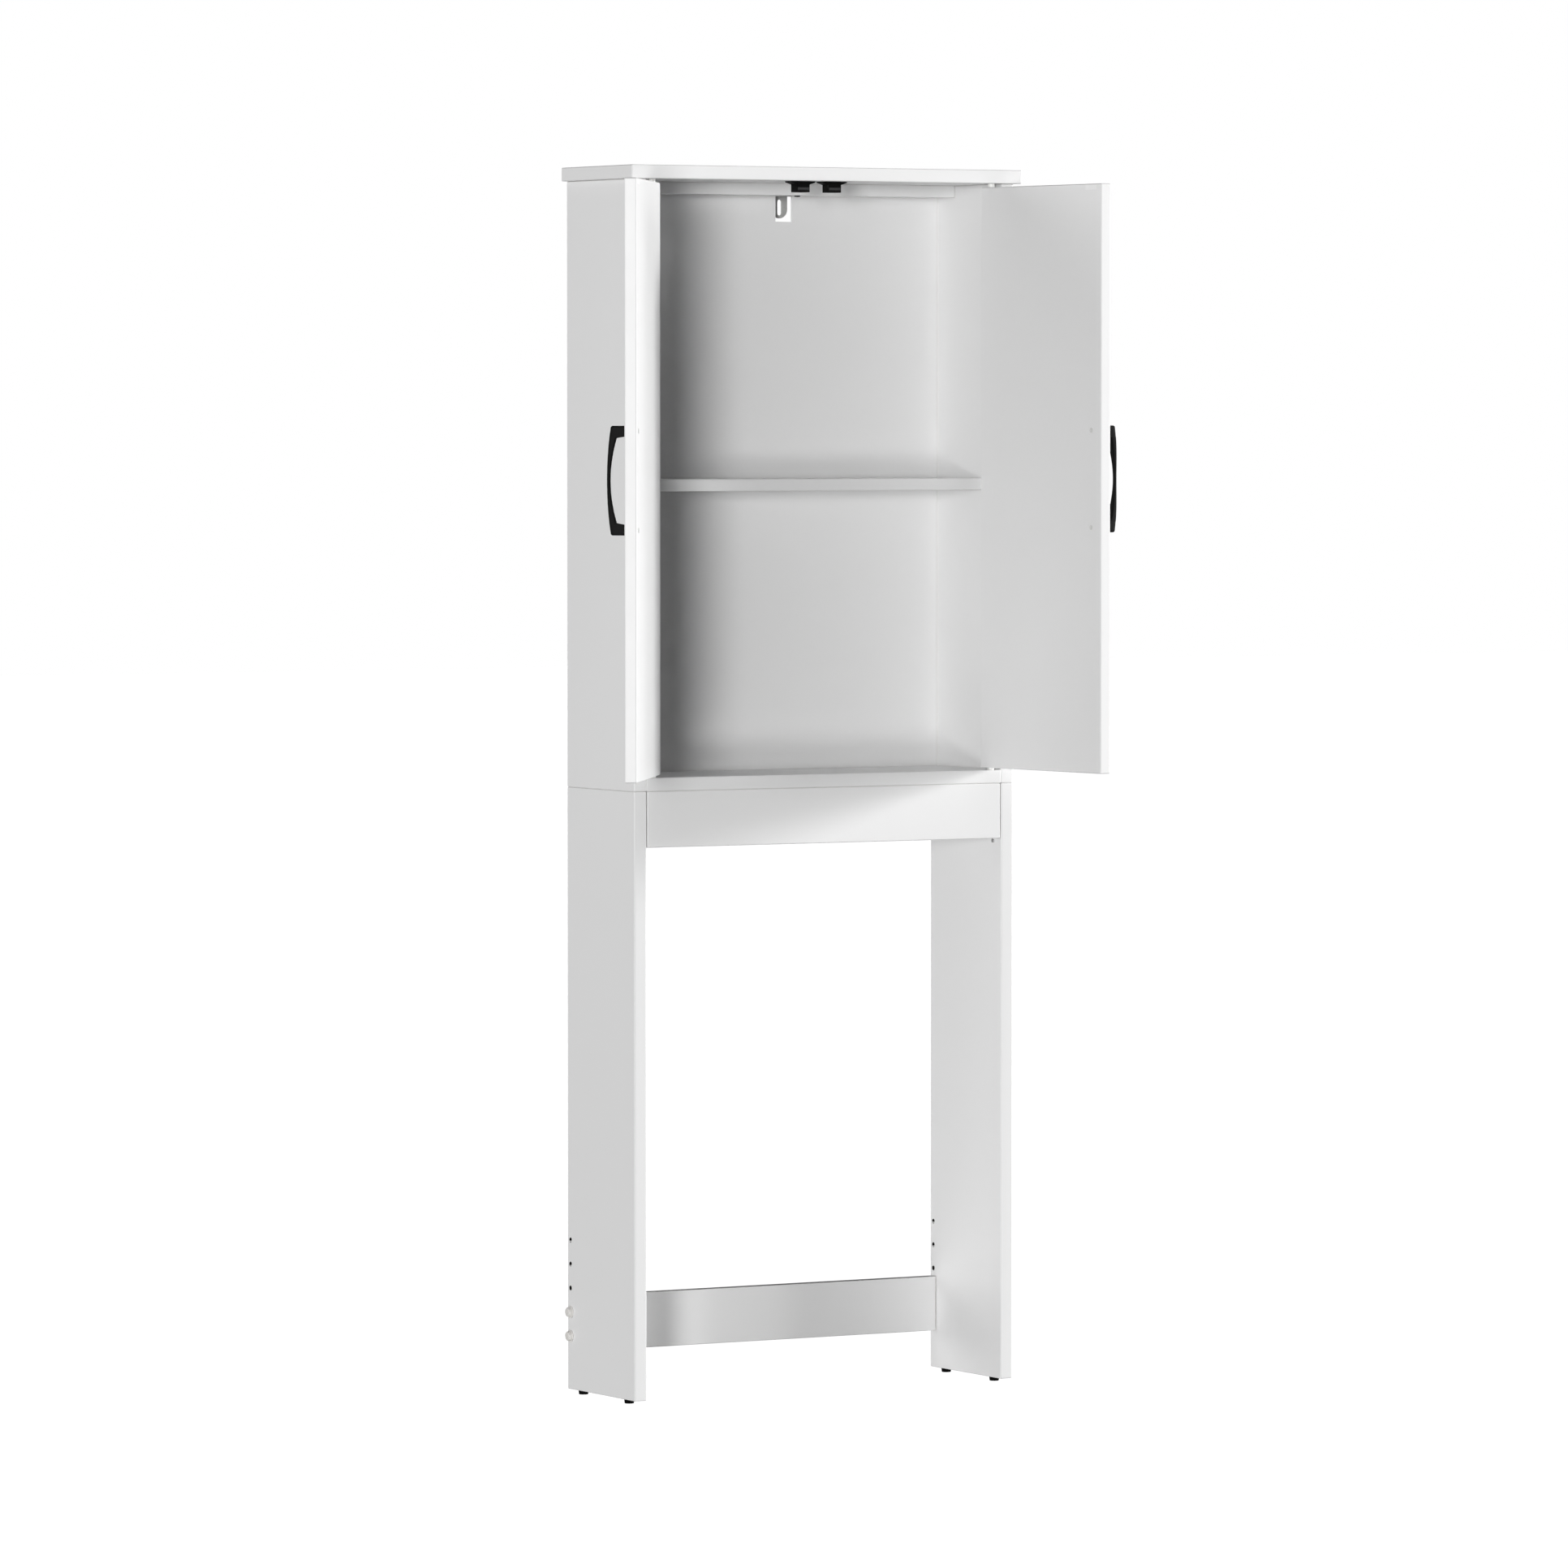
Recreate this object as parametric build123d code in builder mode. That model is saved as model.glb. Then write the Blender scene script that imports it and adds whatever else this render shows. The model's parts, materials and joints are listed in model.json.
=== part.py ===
"""Over-the-toilet storage rack: a two-door cabinet on two panel legs.

Frame: millimetres, +Z up, +Y towards the wall. The origin is on the floor, in the
middle of the footprint of the legs. Both doors stand open, which is the rest pose.
"""

from build123d import *

import math
import os

os.makedirs("parts", exist_ok=True)

# Boards
board = 18.0
thin_board = 16.0
back_board = 3.0
edge_round = 1.5
small_round = 0.8

# Overall envelope
cabinet_width = 580.0
cabinet_depth = 185.0
foot_height = 5.5
leg_height = 802.5
side_height = 803.0
top_side_overhang = 8.0
top_front_overhang = 9.0

# Shelf, back, rails and apron
shelf_height = 1201.0
shelf_setback = 47.0
back_inset = 14.0
groove_depth = 5.0
top_rail_depth = 63.0
rail_height = 74.0
lower_rail_base = 56.0
apron_gap = 1.5
lower_rail_gap = 0.5

# Doors
door_width = 268.5
door_base_gap = 3.0
door_top_gap = 5.0
pivot_from_side = 12.5
pivot_from_face = 6.5
pivot_from_hinge_edge = 10.5
left_door_angle = 125.5
right_door_angle = 95.0

# Pivot pins and bushes
pin_radius = 2.5
pin_depth = 14.0
pin_engagement = 9.0
bush_radius = 4.0
bush_flange_radius = 4.65
bush_depth = 11.0
bush_floor = 1.0
running_clearance = 0.05
face_clearance = 0.3

# Handles
handle_length = 141.0
handle_screw_spacing = 128.0
handle_from_edge = 21.0
handle_projection = 24.9
handle_outer_radius = 450.0
handle_inner_radius = 195.0
handle_foot_length = 14.6
handle_foot_width = 11.8
handle_waist = 4.7
handle_corner = 2.0
handle_steps = 4
handle_screw_radius = 2.0
handle_screw_head_radius = 3.2
handle_screw_head_height = 0.9
handle_screw_grip = 10.0

# Magnetic catches and strike plates
catch_from_centre = 24.0
catch_face_setback = 18.0
catch_width = 19.0
catch_depth = 16.3
catch_height = 14.5
ear_span = 37.4
ear_tip_thickness = 1.4
ear_root_thickness = 4.3
pole_width = 17.3
pole_height = 4.9
pole_plate = 1.0
pole_depth = 12.0
pole_proud = 1.5
pole_below_top = 9.75
catch_screw_spacing = 29.0
catch_screw_radius = 1.5
catch_screw_head_radius = 2.5
catch_screw_head_height = 1.2
catch_seat_radius = 2.6
catch_screw_grip = 8.0
strike_width = 24.0
strike_height = 6.0
strike_thickness = 1.2
prong_radius = 1.0
prong_length = 8.0
prong_spacing = 16.0

# Wall bracket
bracket_centre = 33.8
bracket_width = 24.0
bracket_thickness = 2.0
bracket_reach = 60.0
bracket_foot = 1565.6
bracket_slot_width = 6.5
bracket_slot_length = 21.4
bracket_slot_base = 1569.4
bracket_screw_reach = 50.0
bracket_screw_radius = 2.0
bracket_screw_head_radius = 4.0
bracket_screw_head_height = 1.9
bracket_screw_head_round = 1.2
bracket_screw_length = 28.0
bracket_bend = 1.5
notch_low_x = 19.2
notch_high_x = 44.6
notch_base = 1560.7

# Leg fittings
foot_top_radius = 6.75
foot_base_radius = 6.3
foot_from_front = 31.5
foot_spacing = 126.0
spigot_radius = 4.0
spigot_length = 10.0
leg_hole_radius = 3.3
leg_hole_pitch = 32.0
leg_hole_count = 5
lowest_leg_hole = 76.5
leg_hole_from_back = 8.0
leg_pin_radius = 2.4
leg_pin_proud = 2.0
leg_pin_depth = 8.0
leg_pin_from_front = 20.0
leg_pin_below_apron = 4.0

# Bolts of the lower rail
bolt_radius = 3.0
bolt_length = 58.0
bolt_head_radius = 5.5
bolt_head_height = 2.5
rail_bore_radius = 3.5
rail_bore_depth = 44.0
nut_radius = 5.0
nut_length = 13.0
nut_from_end = 30.0
cap_flange_radius = 8.0
cap_flange_height = 1.3
cap_knob_radius = 6.3
cap_height = 5.6
cap_round = 1.6
cap_hollow_radius = 5.6
cap_hollow_depth = 2.6

# Dowels and cam fittings
dowel_radius = 4.0
dowel_length = 30.0
dowel_in_board = 12.0
cam_radius = 7.3
cam_height = 12.0
cam_pocket_radius = 7.5
cam_from_end = 24.0
cam_bolt_radius = 2.5
cam_bolt_head_radius = 3.4
cam_bolt_in_board = 12.0
cam_bolt_bore_radius = 4.0
cam_bolt_head_length = 3.0
cam_bore_radius = 3.6
cam_slot_width = 1.2
cam_slot_length = 10.0
cam_slot_depth = 1.5
pocket_clearance = 0.5

# Worked out from the sizes above
half_width = cabinet_width / 2
inner_half = half_width - board
board_mid = half_width - board / 2
front_y = -cabinet_depth / 2
back_y = cabinet_depth / 2
seam_height = foot_height + leg_height
floor_top = seam_height + board
top_underside = seam_height + side_height
overall_height = top_underside + board
back_front = back_y - back_inset - back_board
back_rear = back_y - back_inset
top_rail_front = back_y - top_rail_depth
top_rail_underside = top_underside - thin_board
panel_top = top_rail_underside + groove_depth
apron_underside = seam_height - rail_height
lower_rail_front = back_y - thin_board
leg_hole_y = back_y - leg_hole_from_back
leg_hole_heights = [lowest_leg_hole + leg_hole_pitch * step for step in range(leg_hole_count)]
bolt_heights = leg_hole_heights[:2]
door_base = floor_top + door_base_gap
door_top = top_underside - door_top_gap
handle_centre = (door_base + door_top) / 2
free_edge = door_width - pivot_from_hinge_edge
pivot_x = inner_half - pivot_from_side
pivot_y = front_y + pivot_from_face
leg_pin_y = front_y + leg_pin_from_front
leg_pin_z = apron_underside - leg_pin_below_apron
foot_y = [front_y + foot_from_front + step * foot_spacing for step in (0, 1)]
catch_face_y = front_y + catch_face_setback
catch_mid_y = catch_face_y + catch_depth / 2
catch_places = [-catch_from_centre, catch_from_centre]
pole_z = top_underside - pole_below_top
rail_end = inner_half - lower_rail_gap
nut_x = rail_end - nut_from_end
cam_pocket_depth = cam_height + pocket_clearance
bracket_screw_point = (bracket_centre, back_y - bracket_screw_reach, top_rail_underside)
sides = {"left": -1, "right": 1}
upright = (0, 0, 1)
downward = (0, 0, -1)
forward = (0, -1, 0)


def board_box(low, high):
    """A square-edged board between two opposite corners, added to the current part."""
    size = [upper - lower for lower, upper in zip(low, high)]
    with Locations(tuple(low)):
        Box(*size, align=(Align.MIN, Align.MIN, Align.MIN))


def rods(points, direction, radius, length, mode=Mode.ADD):
    """Cylinders that start at each point and run along one direction."""
    with Locations(*[Plane(origin=point, z_dir=direction) for point in points]):
        Cylinder(radius, length, align=(Align.CENTER, Align.CENTER, Align.MIN), mode=mode)


def bores(points, direction, radius, depth):
    """Round holes cut from each point along one direction."""
    rods(points, direction, radius, depth, Mode.SUBTRACT)


# Joint positions, each shared by the two boards that it holds together
upright_dowel_y = (-45.0, 45.0)
floor_dowel_y = (-62.5, 62.5)
floor_cam_y = 0.0
shelf_dowel_y = (-22.5, 57.5)
shelf_cam_y = 17.5
top_rail_dowel_y = 84.0
top_rail_cam_y = 55.5
apron_dowel_heights = (apron_underside + 18.0, seam_height - 18.0)
apron_cam_height = seam_height - rail_height / 2
floor_mid = seam_height + board / 2
shelf_mid = shelf_height + thin_board / 2
top_rail_mid = top_underside - thin_board / 2
apron_mid = front_y + thin_board / 2

# Points of the dowels and cam bolts in a side panel or a leg, as (Y, Z)
side_dowels = [(y, floor_mid) for y in floor_dowel_y]
side_dowels += [(y, shelf_mid) for y in shelf_dowel_y]
side_dowels += [(top_rail_dowel_y, top_rail_mid)]
side_cams = [(floor_cam_y, floor_mid), (shelf_cam_y, shelf_mid), (top_rail_cam_y, top_rail_mid)]
leg_dowels = [(apron_mid, height) for height in apron_dowel_heights]
leg_cams = [(apron_mid, apron_cam_height)]


def inner_points(side, places):
    """Points on the inner face of one side panel or leg, from their (Y, Z) places."""
    return [(side * inner_half, y, z) for y, z in places]


def end_points(side, places, gap=0.0):
    """Points on one end of a cross board, which stops short of the sides by the gap."""
    return [(side * (inner_half - gap), y, z) for y, z in places]


def cross_board_holes(dowels, cams, gap=0.0):
    """Dowel and cam bolt holes in both ends of a cross board."""
    for side in sides.values():
        inwards = (-side, 0, 0)
        bores(end_points(side, dowels, gap), inwards, dowel_radius, dowel_length - dowel_in_board - gap)
        bores(end_points(side, cams, gap), inwards, cam_bolt_bore_radius, cam_from_end - gap)


def cam_points(y, z):
    """The middle of the cam pocket at each end of a cross board."""
    return [(side * (inner_half - cam_from_end), y, z) for side in sides.values()]


catch_screw_points = [
    (centre + end * catch_screw_spacing / 2, catch_mid_y, top_underside)
    for centre in catch_places
    for end in (-1, 1)
]

# ---------------------------------------------------------------- cabinet panels

with BuildPart() as top_panel:
    board_box(
        (-half_width - top_side_overhang, front_y - top_front_overhang, top_underside),
        (half_width + top_side_overhang, back_y, overall_height),
    )
    fillet(top_panel.edges(), edge_round)
    for side in sides.values():
        dowel_seats = [(side * board_mid, y, top_underside) for y in upright_dowel_y]
        bores(dowel_seats, upright, dowel_radius, dowel_in_board)
        bores([(side * pivot_x, pivot_y, top_underside)], upright, bush_radius, bush_depth)
    bores(catch_screw_points, upright, catch_screw_radius, catch_screw_grip)
    bores([bracket_screw_point], upright, bracket_screw_radius, bracket_screw_length)
top_panel.part.label = "top_panel"
export_step(top_panel.part, "parts/top_panel.step")

for side_name, side in sides.items():
    outer = side * half_width
    inner = side * inner_half
    outwards = (side, 0, 0)
    low_x, high_x = min(outer, inner), max(outer, inner)
    board_seats = [(side * board_mid, y, seam_height) for y in upright_dowel_y]

    with BuildPart() as side_panel:
        board_box((low_x, front_y, seam_height), (high_x, back_y, top_underside))
        fillet(side_panel.edges(), edge_round)
        groove_x = (inner, inner + side * groove_depth)
        with Locations((min(groove_x), back_front, floor_top - groove_depth)):
            Box(
                groove_depth,
                back_board,
                panel_top - floor_top + groove_depth,
                align=(Align.MIN, Align.MIN, Align.MIN),
                mode=Mode.SUBTRACT,
            )
        top_seats = [(side * board_mid, y, top_underside) for y in upright_dowel_y]
        bores(top_seats, downward, dowel_radius, dowel_length - dowel_in_board)
        bores(board_seats, upright, dowel_radius, dowel_length / 2)
        bores(inner_points(side, side_dowels), outwards, dowel_radius, dowel_in_board)
        bores(inner_points(side, side_cams), outwards, cam_bolt_radius, cam_bolt_in_board)
    side_panel.part.label = f"{side_name}_side_panel"
    export_step(side_panel.part, f"parts/{side_name}_side_panel.step")

    with BuildPart() as leg_panel:
        board_box((low_x, front_y, foot_height), (high_x, back_y, seam_height))
        fillet(leg_panel.edges(), edge_round)
        bores(board_seats, downward, dowel_radius, dowel_length / 2)
        bores(inner_points(side, leg_dowels), outwards, dowel_radius, dowel_in_board)
        bores(inner_points(side, leg_cams), outwards, cam_bolt_radius, cam_bolt_in_board)
        bores([(inner, leg_hole_y, z) for z in leg_hole_heights], outwards, leg_hole_radius, board)
        bores([(side * board_mid, y, foot_height) for y in foot_y], upright, spigot_radius, spigot_length)
        bores([(inner, leg_pin_y, leg_pin_z)], outwards, leg_pin_radius, leg_pin_depth)
    leg_panel.part.label = f"{side_name}_leg_panel"
    export_step(leg_panel.part, f"parts/{side_name}_leg_panel.step")

with BuildPart() as cabinet_floor:
    board_box((-inner_half, front_y, seam_height), (inner_half, back_y, floor_top))
    fillet(cabinet_floor.edges(), edge_round)
    with Locations((0, back_front, floor_top)):
        Box(
            2 * inner_half,
            back_board,
            groove_depth,
            align=(Align.CENTER, Align.MIN, Align.MAX),
            mode=Mode.SUBTRACT,
        )
    cross_board_holes([(y, floor_mid) for y in floor_dowel_y], [(floor_cam_y, floor_mid)])
    bores(cam_points(floor_cam_y, seam_height), upright, cam_pocket_radius, cam_pocket_depth)
    bush_seats = [(side * pivot_x, pivot_y, floor_top) for side in sides.values()]
    bores(bush_seats, downward, bush_radius, bush_depth)
cabinet_floor.part.label = "cabinet_floor"
export_step(cabinet_floor.part, "parts/cabinet_floor.step")

with BuildPart() as middle_shelf:
    board_box(
        (-inner_half, front_y + shelf_setback, shelf_height),
        (inner_half, back_front, shelf_height + thin_board),
    )
    fillet(middle_shelf.edges(), edge_round)
    cross_board_holes([(y, shelf_mid) for y in shelf_dowel_y], [(shelf_cam_y, shelf_mid)])
    bores(cam_points(shelf_cam_y, shelf_height), upright, cam_pocket_radius, cam_pocket_depth)
middle_shelf.part.label = "middle_shelf"
export_step(middle_shelf.part, "parts/middle_shelf.step")

with BuildPart() as back_panel:
    board_box(
        (-inner_half - groove_depth, back_front, floor_top - groove_depth),
        (inner_half + groove_depth, back_rear, panel_top),
    )
    with Locations((notch_low_x, back_front, notch_base)):
        Box(
            notch_high_x - notch_low_x,
            back_board,
            panel_top - notch_base,
            align=(Align.MIN, Align.MIN, Align.MIN),
            mode=Mode.SUBTRACT,
        )
    with Locations((bracket_centre, back_front, top_rail_underside)):
        Box(
            bracket_width + 2 * face_clearance,
            back_board,
            groove_depth,
            align=(Align.CENTER, Align.MIN, Align.MIN),
            mode=Mode.SUBTRACT,
        )
back_panel.part.label = "back_panel"
export_step(back_panel.part, "parts/back_panel.step")

with BuildPart() as top_rear_rail:
    board_box((-inner_half, top_rail_front, top_rail_underside), (inner_half, back_y, top_underside))
    fillet(top_rear_rail.edges(), small_round)
    with Locations((0, back_front, top_rail_underside)):
        Box(
            2 * inner_half,
            back_board,
            groove_depth,
            align=(Align.CENTER, Align.MIN, Align.MIN),
            mode=Mode.SUBTRACT,
        )
    with Locations((bracket_centre, back_y, top_rail_underside)):
        Box(
            bracket_width,
            bracket_reach,
            bracket_thickness,
            align=(Align.CENTER, Align.MAX, Align.MIN),
            mode=Mode.SUBTRACT,
        )
    bores([bracket_screw_point], upright, bracket_screw_radius, thin_board)
    cross_board_holes([(top_rail_dowel_y, top_rail_mid)], [(top_rail_cam_y, top_rail_mid)])
    bores(cam_points(top_rail_cam_y, top_rail_underside), upright, cam_pocket_radius, cam_pocket_depth)
top_rear_rail.part.label = "top_rear_rail"
export_step(top_rear_rail.part, "parts/top_rear_rail.step")

# ---------------------------------------------------------------- lower frame

with BuildPart() as front_apron:
    apron_half = inner_half - apron_gap
    board_box((-apron_half, front_y, apron_underside), (apron_half, front_y + thin_board, seam_height))
    fillet(front_apron.edges(), edge_round)
    cross_board_holes(leg_dowels, leg_cams, apron_gap)
    bores(cam_points(front_y + thin_board, apron_cam_height), forward, cam_pocket_radius, cam_pocket_depth)
front_apron.part.label = "front_apron"
export_step(front_apron.part, "parts/front_apron.step")

with BuildPart() as lower_rear_rail:
    board_box(
        (-rail_end, lower_rail_front, lower_rail_base),
        (rail_end, back_y, lower_rail_base + rail_height),
    )
    fillet(lower_rear_rail.edges(), edge_round)
    for side in sides.values():
        bolt_ways = [(side * rail_end, leg_hole_y, z) for z in bolt_heights]
        bores(bolt_ways, (-side, 0, 0), rail_bore_radius, rail_bore_depth)
        bores([(side * nut_x, back_y, z) for z in bolt_heights], forward, nut_radius, nut_length)
lower_rear_rail.part.label = "lower_rear_rail"
export_step(lower_rear_rail.part, "parts/lower_rear_rail.step")

# ---------------------------------------------------------------- doors and their fittings


def door_plane(side, angle):
    """The plane of one open door: origin on its pivot axis at floor level, X towards its free edge."""
    turn = math.radians(angle)
    along = (-side * math.cos(turn), -math.sin(turn), 0)
    return Plane(origin=(side * pivot_x, pivot_y, 0), x_dir=along, z_dir=upright)


def swell_points(x_mid, way):
    """Points down one side of the handle, seen from the front: wide at its feet and narrow at its waist."""
    points = []
    for step in range(-handle_steps, handle_steps + 1):
        z = handle_length / 2 * step / handle_steps
        swell = (handle_foot_width - handle_waist) / 2 * math.sin(math.pi * z / handle_length) ** 2
        points.append((x_mid + way * (handle_waist / 2 + swell), handle_centre + z))
    return points


def arc_drop(radius, half_chord):
    """How far an arc falls from its middle to the end of a half chord."""
    return radius - math.sqrt(radius**2 - half_chord**2)


handle_half = handle_length / 2
handle_foot_inside = handle_half - handle_foot_length
handle_outer_end = handle_projection - arc_drop(handle_outer_radius, handle_half)
handle_inner_mid = handle_projection - handle_waist
handle_inner_end = handle_inner_mid - arc_drop(handle_inner_radius, handle_foot_inside)
handle_x = free_edge - handle_from_edge
strike_x = pivot_x - catch_from_centre
screw_heights = [handle_centre + end * handle_screw_spacing / 2 for end in (-1, 1)]
prong_points = [strike_x + end * prong_spacing / 2 for end in (-1, 1)]

for side_name, side, angle in (("left", -1, left_door_angle), ("right", 1, right_door_angle)):
    plane = door_plane(side, angle)
    inwards = -side
    outer_face = -inwards * pivot_from_face
    inner_face = outer_face + inwards * thin_board
    low_y, high_y = min(outer_face, inner_face), max(outer_face, inner_face)
    into_door = (0, inwards, 0)
    out_of_door = (0, -inwards, 0)

    with BuildPart(plane) as door:
        board_box((-pivot_from_hinge_edge, low_y, door_base), (free_edge, high_y, door_top))
        fillet(door.edges(), edge_round)
        bores([(0, 0, door_top)], downward, pin_radius, pin_depth)
        bores([(0, 0, door_base)], upright, pin_radius, pin_depth)
        bores([(handle_x, outer_face, z) for z in screw_heights], into_door, handle_screw_radius, thin_board)
        with Locations((strike_x, inner_face - inwards * strike_thickness / 2, pole_z)):
            Box(strike_width, strike_thickness, strike_height, mode=Mode.SUBTRACT)
        prong_feet = [(x, inner_face - inwards * strike_thickness, pole_z) for x in prong_points]
        bores(prong_feet, out_of_door, prong_radius, prong_length)
    door.part.label = f"{side_name}_door"
    export_step(door.part, f"parts/{side_name}_door.step")

    with BuildPart(plane) as door_pins:
        top_pin_length = pin_depth + door_top_gap + pin_engagement
        base_pin_length = pin_depth + door_base_gap + pin_engagement
        rods([(0, 0, door_top - pin_depth)], upright, pin_radius, top_pin_length)
        rods([(0, 0, door_base + pin_depth)], downward, pin_radius, base_pin_length)
    door_pins.part.label = f"{side_name}_door_pins"
    export_step(door_pins.part, f"parts/{side_name}_door_pins.step")

    profile_plane = plane * Plane(origin=(handle_x, 0, 0), x_dir=(0, 1, 0), z_dir=(1, 0, 0))
    outline_plane = plane * Plane(origin=(0, outer_face, 0), x_dir=(1, 0, 0), z_dir=(0, -1, 0))
    with BuildPart(plane) as handle:
        with BuildSketch(profile_plane) as profile:
            with BuildLine():
                foot_low = (outer_face, handle_centre - handle_foot_inside)
                foot_high = (outer_face, handle_centre + handle_foot_inside)
                inner_low = (outer_face - inwards * handle_inner_end, handle_centre - handle_foot_inside)
                inner_high = (outer_face - inwards * handle_inner_end, handle_centre + handle_foot_inside)
                outer_low = (outer_face - inwards * handle_outer_end, handle_centre - handle_half)
                outer_high = (outer_face - inwards * handle_outer_end, handle_centre + handle_half)
                Polyline(inner_low, foot_low, (outer_face, handle_centre - handle_half), outer_low)
                outer_mid = (outer_face - inwards * handle_projection, handle_centre)
                ThreePointArc(outer_low, outer_mid, outer_high)
                Polyline(outer_high, (outer_face, handle_centre + handle_half), foot_high, inner_high)
                ThreePointArc(inner_high, (outer_face - inwards * handle_inner_mid, handle_centre), inner_low)
            make_face()
            corners = profile.vertices().group_by(Axis.Y)
            tips = [max(end, key=lambda vertex: abs(vertex.X)) for end in (corners[0], corners[-1])]
            fillet(tips, handle_corner)
        extrude(amount=handle_foot_width, both=True)
        with BuildSketch(outline_plane) as outline:
            with BuildLine():
                Spline(*swell_points(handle_x, 1))
                Line(swell_points(handle_x, 1)[-1], swell_points(handle_x, -1)[-1])
                Spline(*swell_points(handle_x, -1))
                Line(swell_points(handle_x, -1)[0], swell_points(handle_x, 1)[0])
            make_face()
            fillet(outline.vertices(), handle_corner)
        extrude(amount=inwards * handle_projection, mode=Mode.INTERSECT)
        screw_seats = [(handle_x, outer_face, z) for z in screw_heights]
        bores(screw_seats, out_of_door, handle_screw_radius, handle_screw_grip)
    handle.part.label = f"{side_name}_handle"
    export_step(handle.part, f"parts/{side_name}_handle.step")

    with BuildPart(plane) as handle_screws:
        shank_ends = [(handle_x, inner_face, z) for z in screw_heights]
        rods(shank_ends, out_of_door, handle_screw_radius, thin_board + handle_screw_grip)
        rods(shank_ends, into_door, handle_screw_head_radius, handle_screw_head_height)
    handle_screws.part.label = f"{side_name}_handle_screws"
    export_step(handle_screws.part, f"parts/{side_name}_handle_screws.step")

    with BuildPart(plane) as strike_plate:
        with Locations((strike_x, inner_face - inwards * strike_thickness / 2, pole_z)):
            Box(strike_width, strike_thickness, strike_height)
        prong_feet = [(x, inner_face - inwards * strike_thickness, pole_z) for x in prong_points]
        rods(prong_feet, out_of_door, prong_radius, prong_length)
    strike_plate.part.label = f"{side_name}_strike_plate"
    export_step(strike_plate.part, f"parts/{side_name}_strike_plate.step")

# ---------------------------------------------------------------- cabinet fittings

with BuildPart() as pivot_bushes:
    for side in sides.values():
        for seat, gap, towards_door in ((floor_top, door_base_gap, 1), (top_underside, door_top_gap, -1)):
            flange = gap - face_clearance
            bore_depth = bush_depth - bush_floor
            rods([(side * pivot_x, pivot_y, seat)], (0, 0, towards_door), bush_flange_radius, flange)
            rods([(side * pivot_x, pivot_y, seat)], (0, 0, -towards_door), bush_radius, bush_depth)
            bore_base = (side * pivot_x, pivot_y, seat - towards_door * bore_depth)
            bores([bore_base], (0, 0, towards_door), pin_radius + running_clearance, bore_depth + flange)
pivot_bushes.part.label = "pivot_bushes"
export_step(pivot_bushes.part, "parts/pivot_bushes.step")


def catch_outline(centre):
    """Corners of one catch seen from the front: a square body between two ears that taper to their tips."""
    body = catch_width / 2
    ear = ear_span / 2
    half = [(ear, 0), (ear, -ear_tip_thickness), (body, -ear_root_thickness), (body, -catch_height)]
    corners = half + [(-x, z) for x, z in reversed(half)]
    return [(centre + x, top_underside + z) for x, z in corners]


with BuildPart() as catch_bodies:
    with BuildSketch(Plane(origin=(0, catch_face_y + catch_depth, 0), x_dir=(1, 0, 0), z_dir=forward)):
        for centre in catch_places:
            with BuildLine():
                Polyline(*catch_outline(centre), close=True)
            make_face()
    extrude(amount=catch_depth)
    for centre in catch_places:
        with Locations((centre, catch_face_y, pole_z)):
            Box(
                pole_width,
                pole_depth,
                pole_height,
                align=(Align.CENTER, Align.MIN, Align.CENTER),
                mode=Mode.SUBTRACT,
            )
    bores(catch_screw_points, downward, catch_screw_radius, ear_root_thickness)
    head_seats = [(x, y, z - ear_tip_thickness) for x, y, z in catch_screw_points]
    bores(head_seats, downward, catch_seat_radius, ear_root_thickness)
catch_bodies.part.label = "catch_bodies"
export_step(catch_bodies.part, "parts/catch_bodies.step")

with BuildPart() as catch_pole_plates:
    for centre in catch_places:
        for end in (-1, 1):
            plate_z = pole_z + end * (pole_height - pole_plate) / 2
            with Locations((centre, catch_face_y - pole_proud, plate_z)):
                Box(
                    pole_width,
                    pole_depth + pole_proud,
                    pole_plate,
                    align=(Align.CENTER, Align.MIN, Align.CENTER),
                )
catch_pole_plates.part.label = "catch_pole_plates"
export_step(catch_pole_plates.part, "parts/catch_pole_plates.step")

with BuildPart() as catch_magnets:
    for centre in catch_places:
        with Locations((centre, catch_face_y, pole_z)):
            Box(
                pole_width,
                pole_depth,
                pole_height - 2 * pole_plate,
                align=(Align.CENTER, Align.MIN, Align.CENTER),
            )
catch_magnets.part.label = "catch_magnets"
export_step(catch_magnets.part, "parts/catch_magnets.step")

with BuildPart() as catch_screws:
    rods(head_seats, upright, catch_screw_radius, ear_tip_thickness + catch_screw_grip)
    rods(head_seats, downward, catch_screw_head_radius, catch_screw_head_height)
catch_screws.part.label = "catch_screws"
export_step(catch_screws.part, "parts/catch_screws.step")

with BuildPart() as wall_bracket:
    strap_mid = bracket_foot + bracket_width / 2
    with BuildSketch(Plane(origin=(0, back_y, 0), x_dir=(1, 0, 0), z_dir=forward)):
        with Locations((bracket_centre, strap_mid)):
            Circle(bracket_width / 2)
            strap_length = top_rail_underside + bracket_thickness - strap_mid
            Rectangle(bracket_width, strap_length, align=(Align.CENTER, Align.MIN))
        with Locations((bracket_centre, bracket_slot_base + bracket_slot_length / 2)):
            SlotOverall(bracket_slot_length, bracket_slot_width, rotation=90, mode=Mode.SUBTRACT)
    extrude(amount=bracket_thickness)
    with Locations((bracket_centre, back_y, top_rail_underside)):
        Box(bracket_width, bracket_reach, bracket_thickness, align=(Align.CENTER, Align.MAX, Align.MIN))
    fillet(wall_bracket.edges().filter_by(Axis.X).group_by(Axis.Z)[-1].sort_by(Axis.Y)[-1], bracket_bend)
    bores([bracket_screw_point], upright, bracket_screw_radius, bracket_thickness)
wall_bracket.part.label = "wall_bracket"
export_step(wall_bracket.part, "parts/wall_bracket.step")

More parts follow.
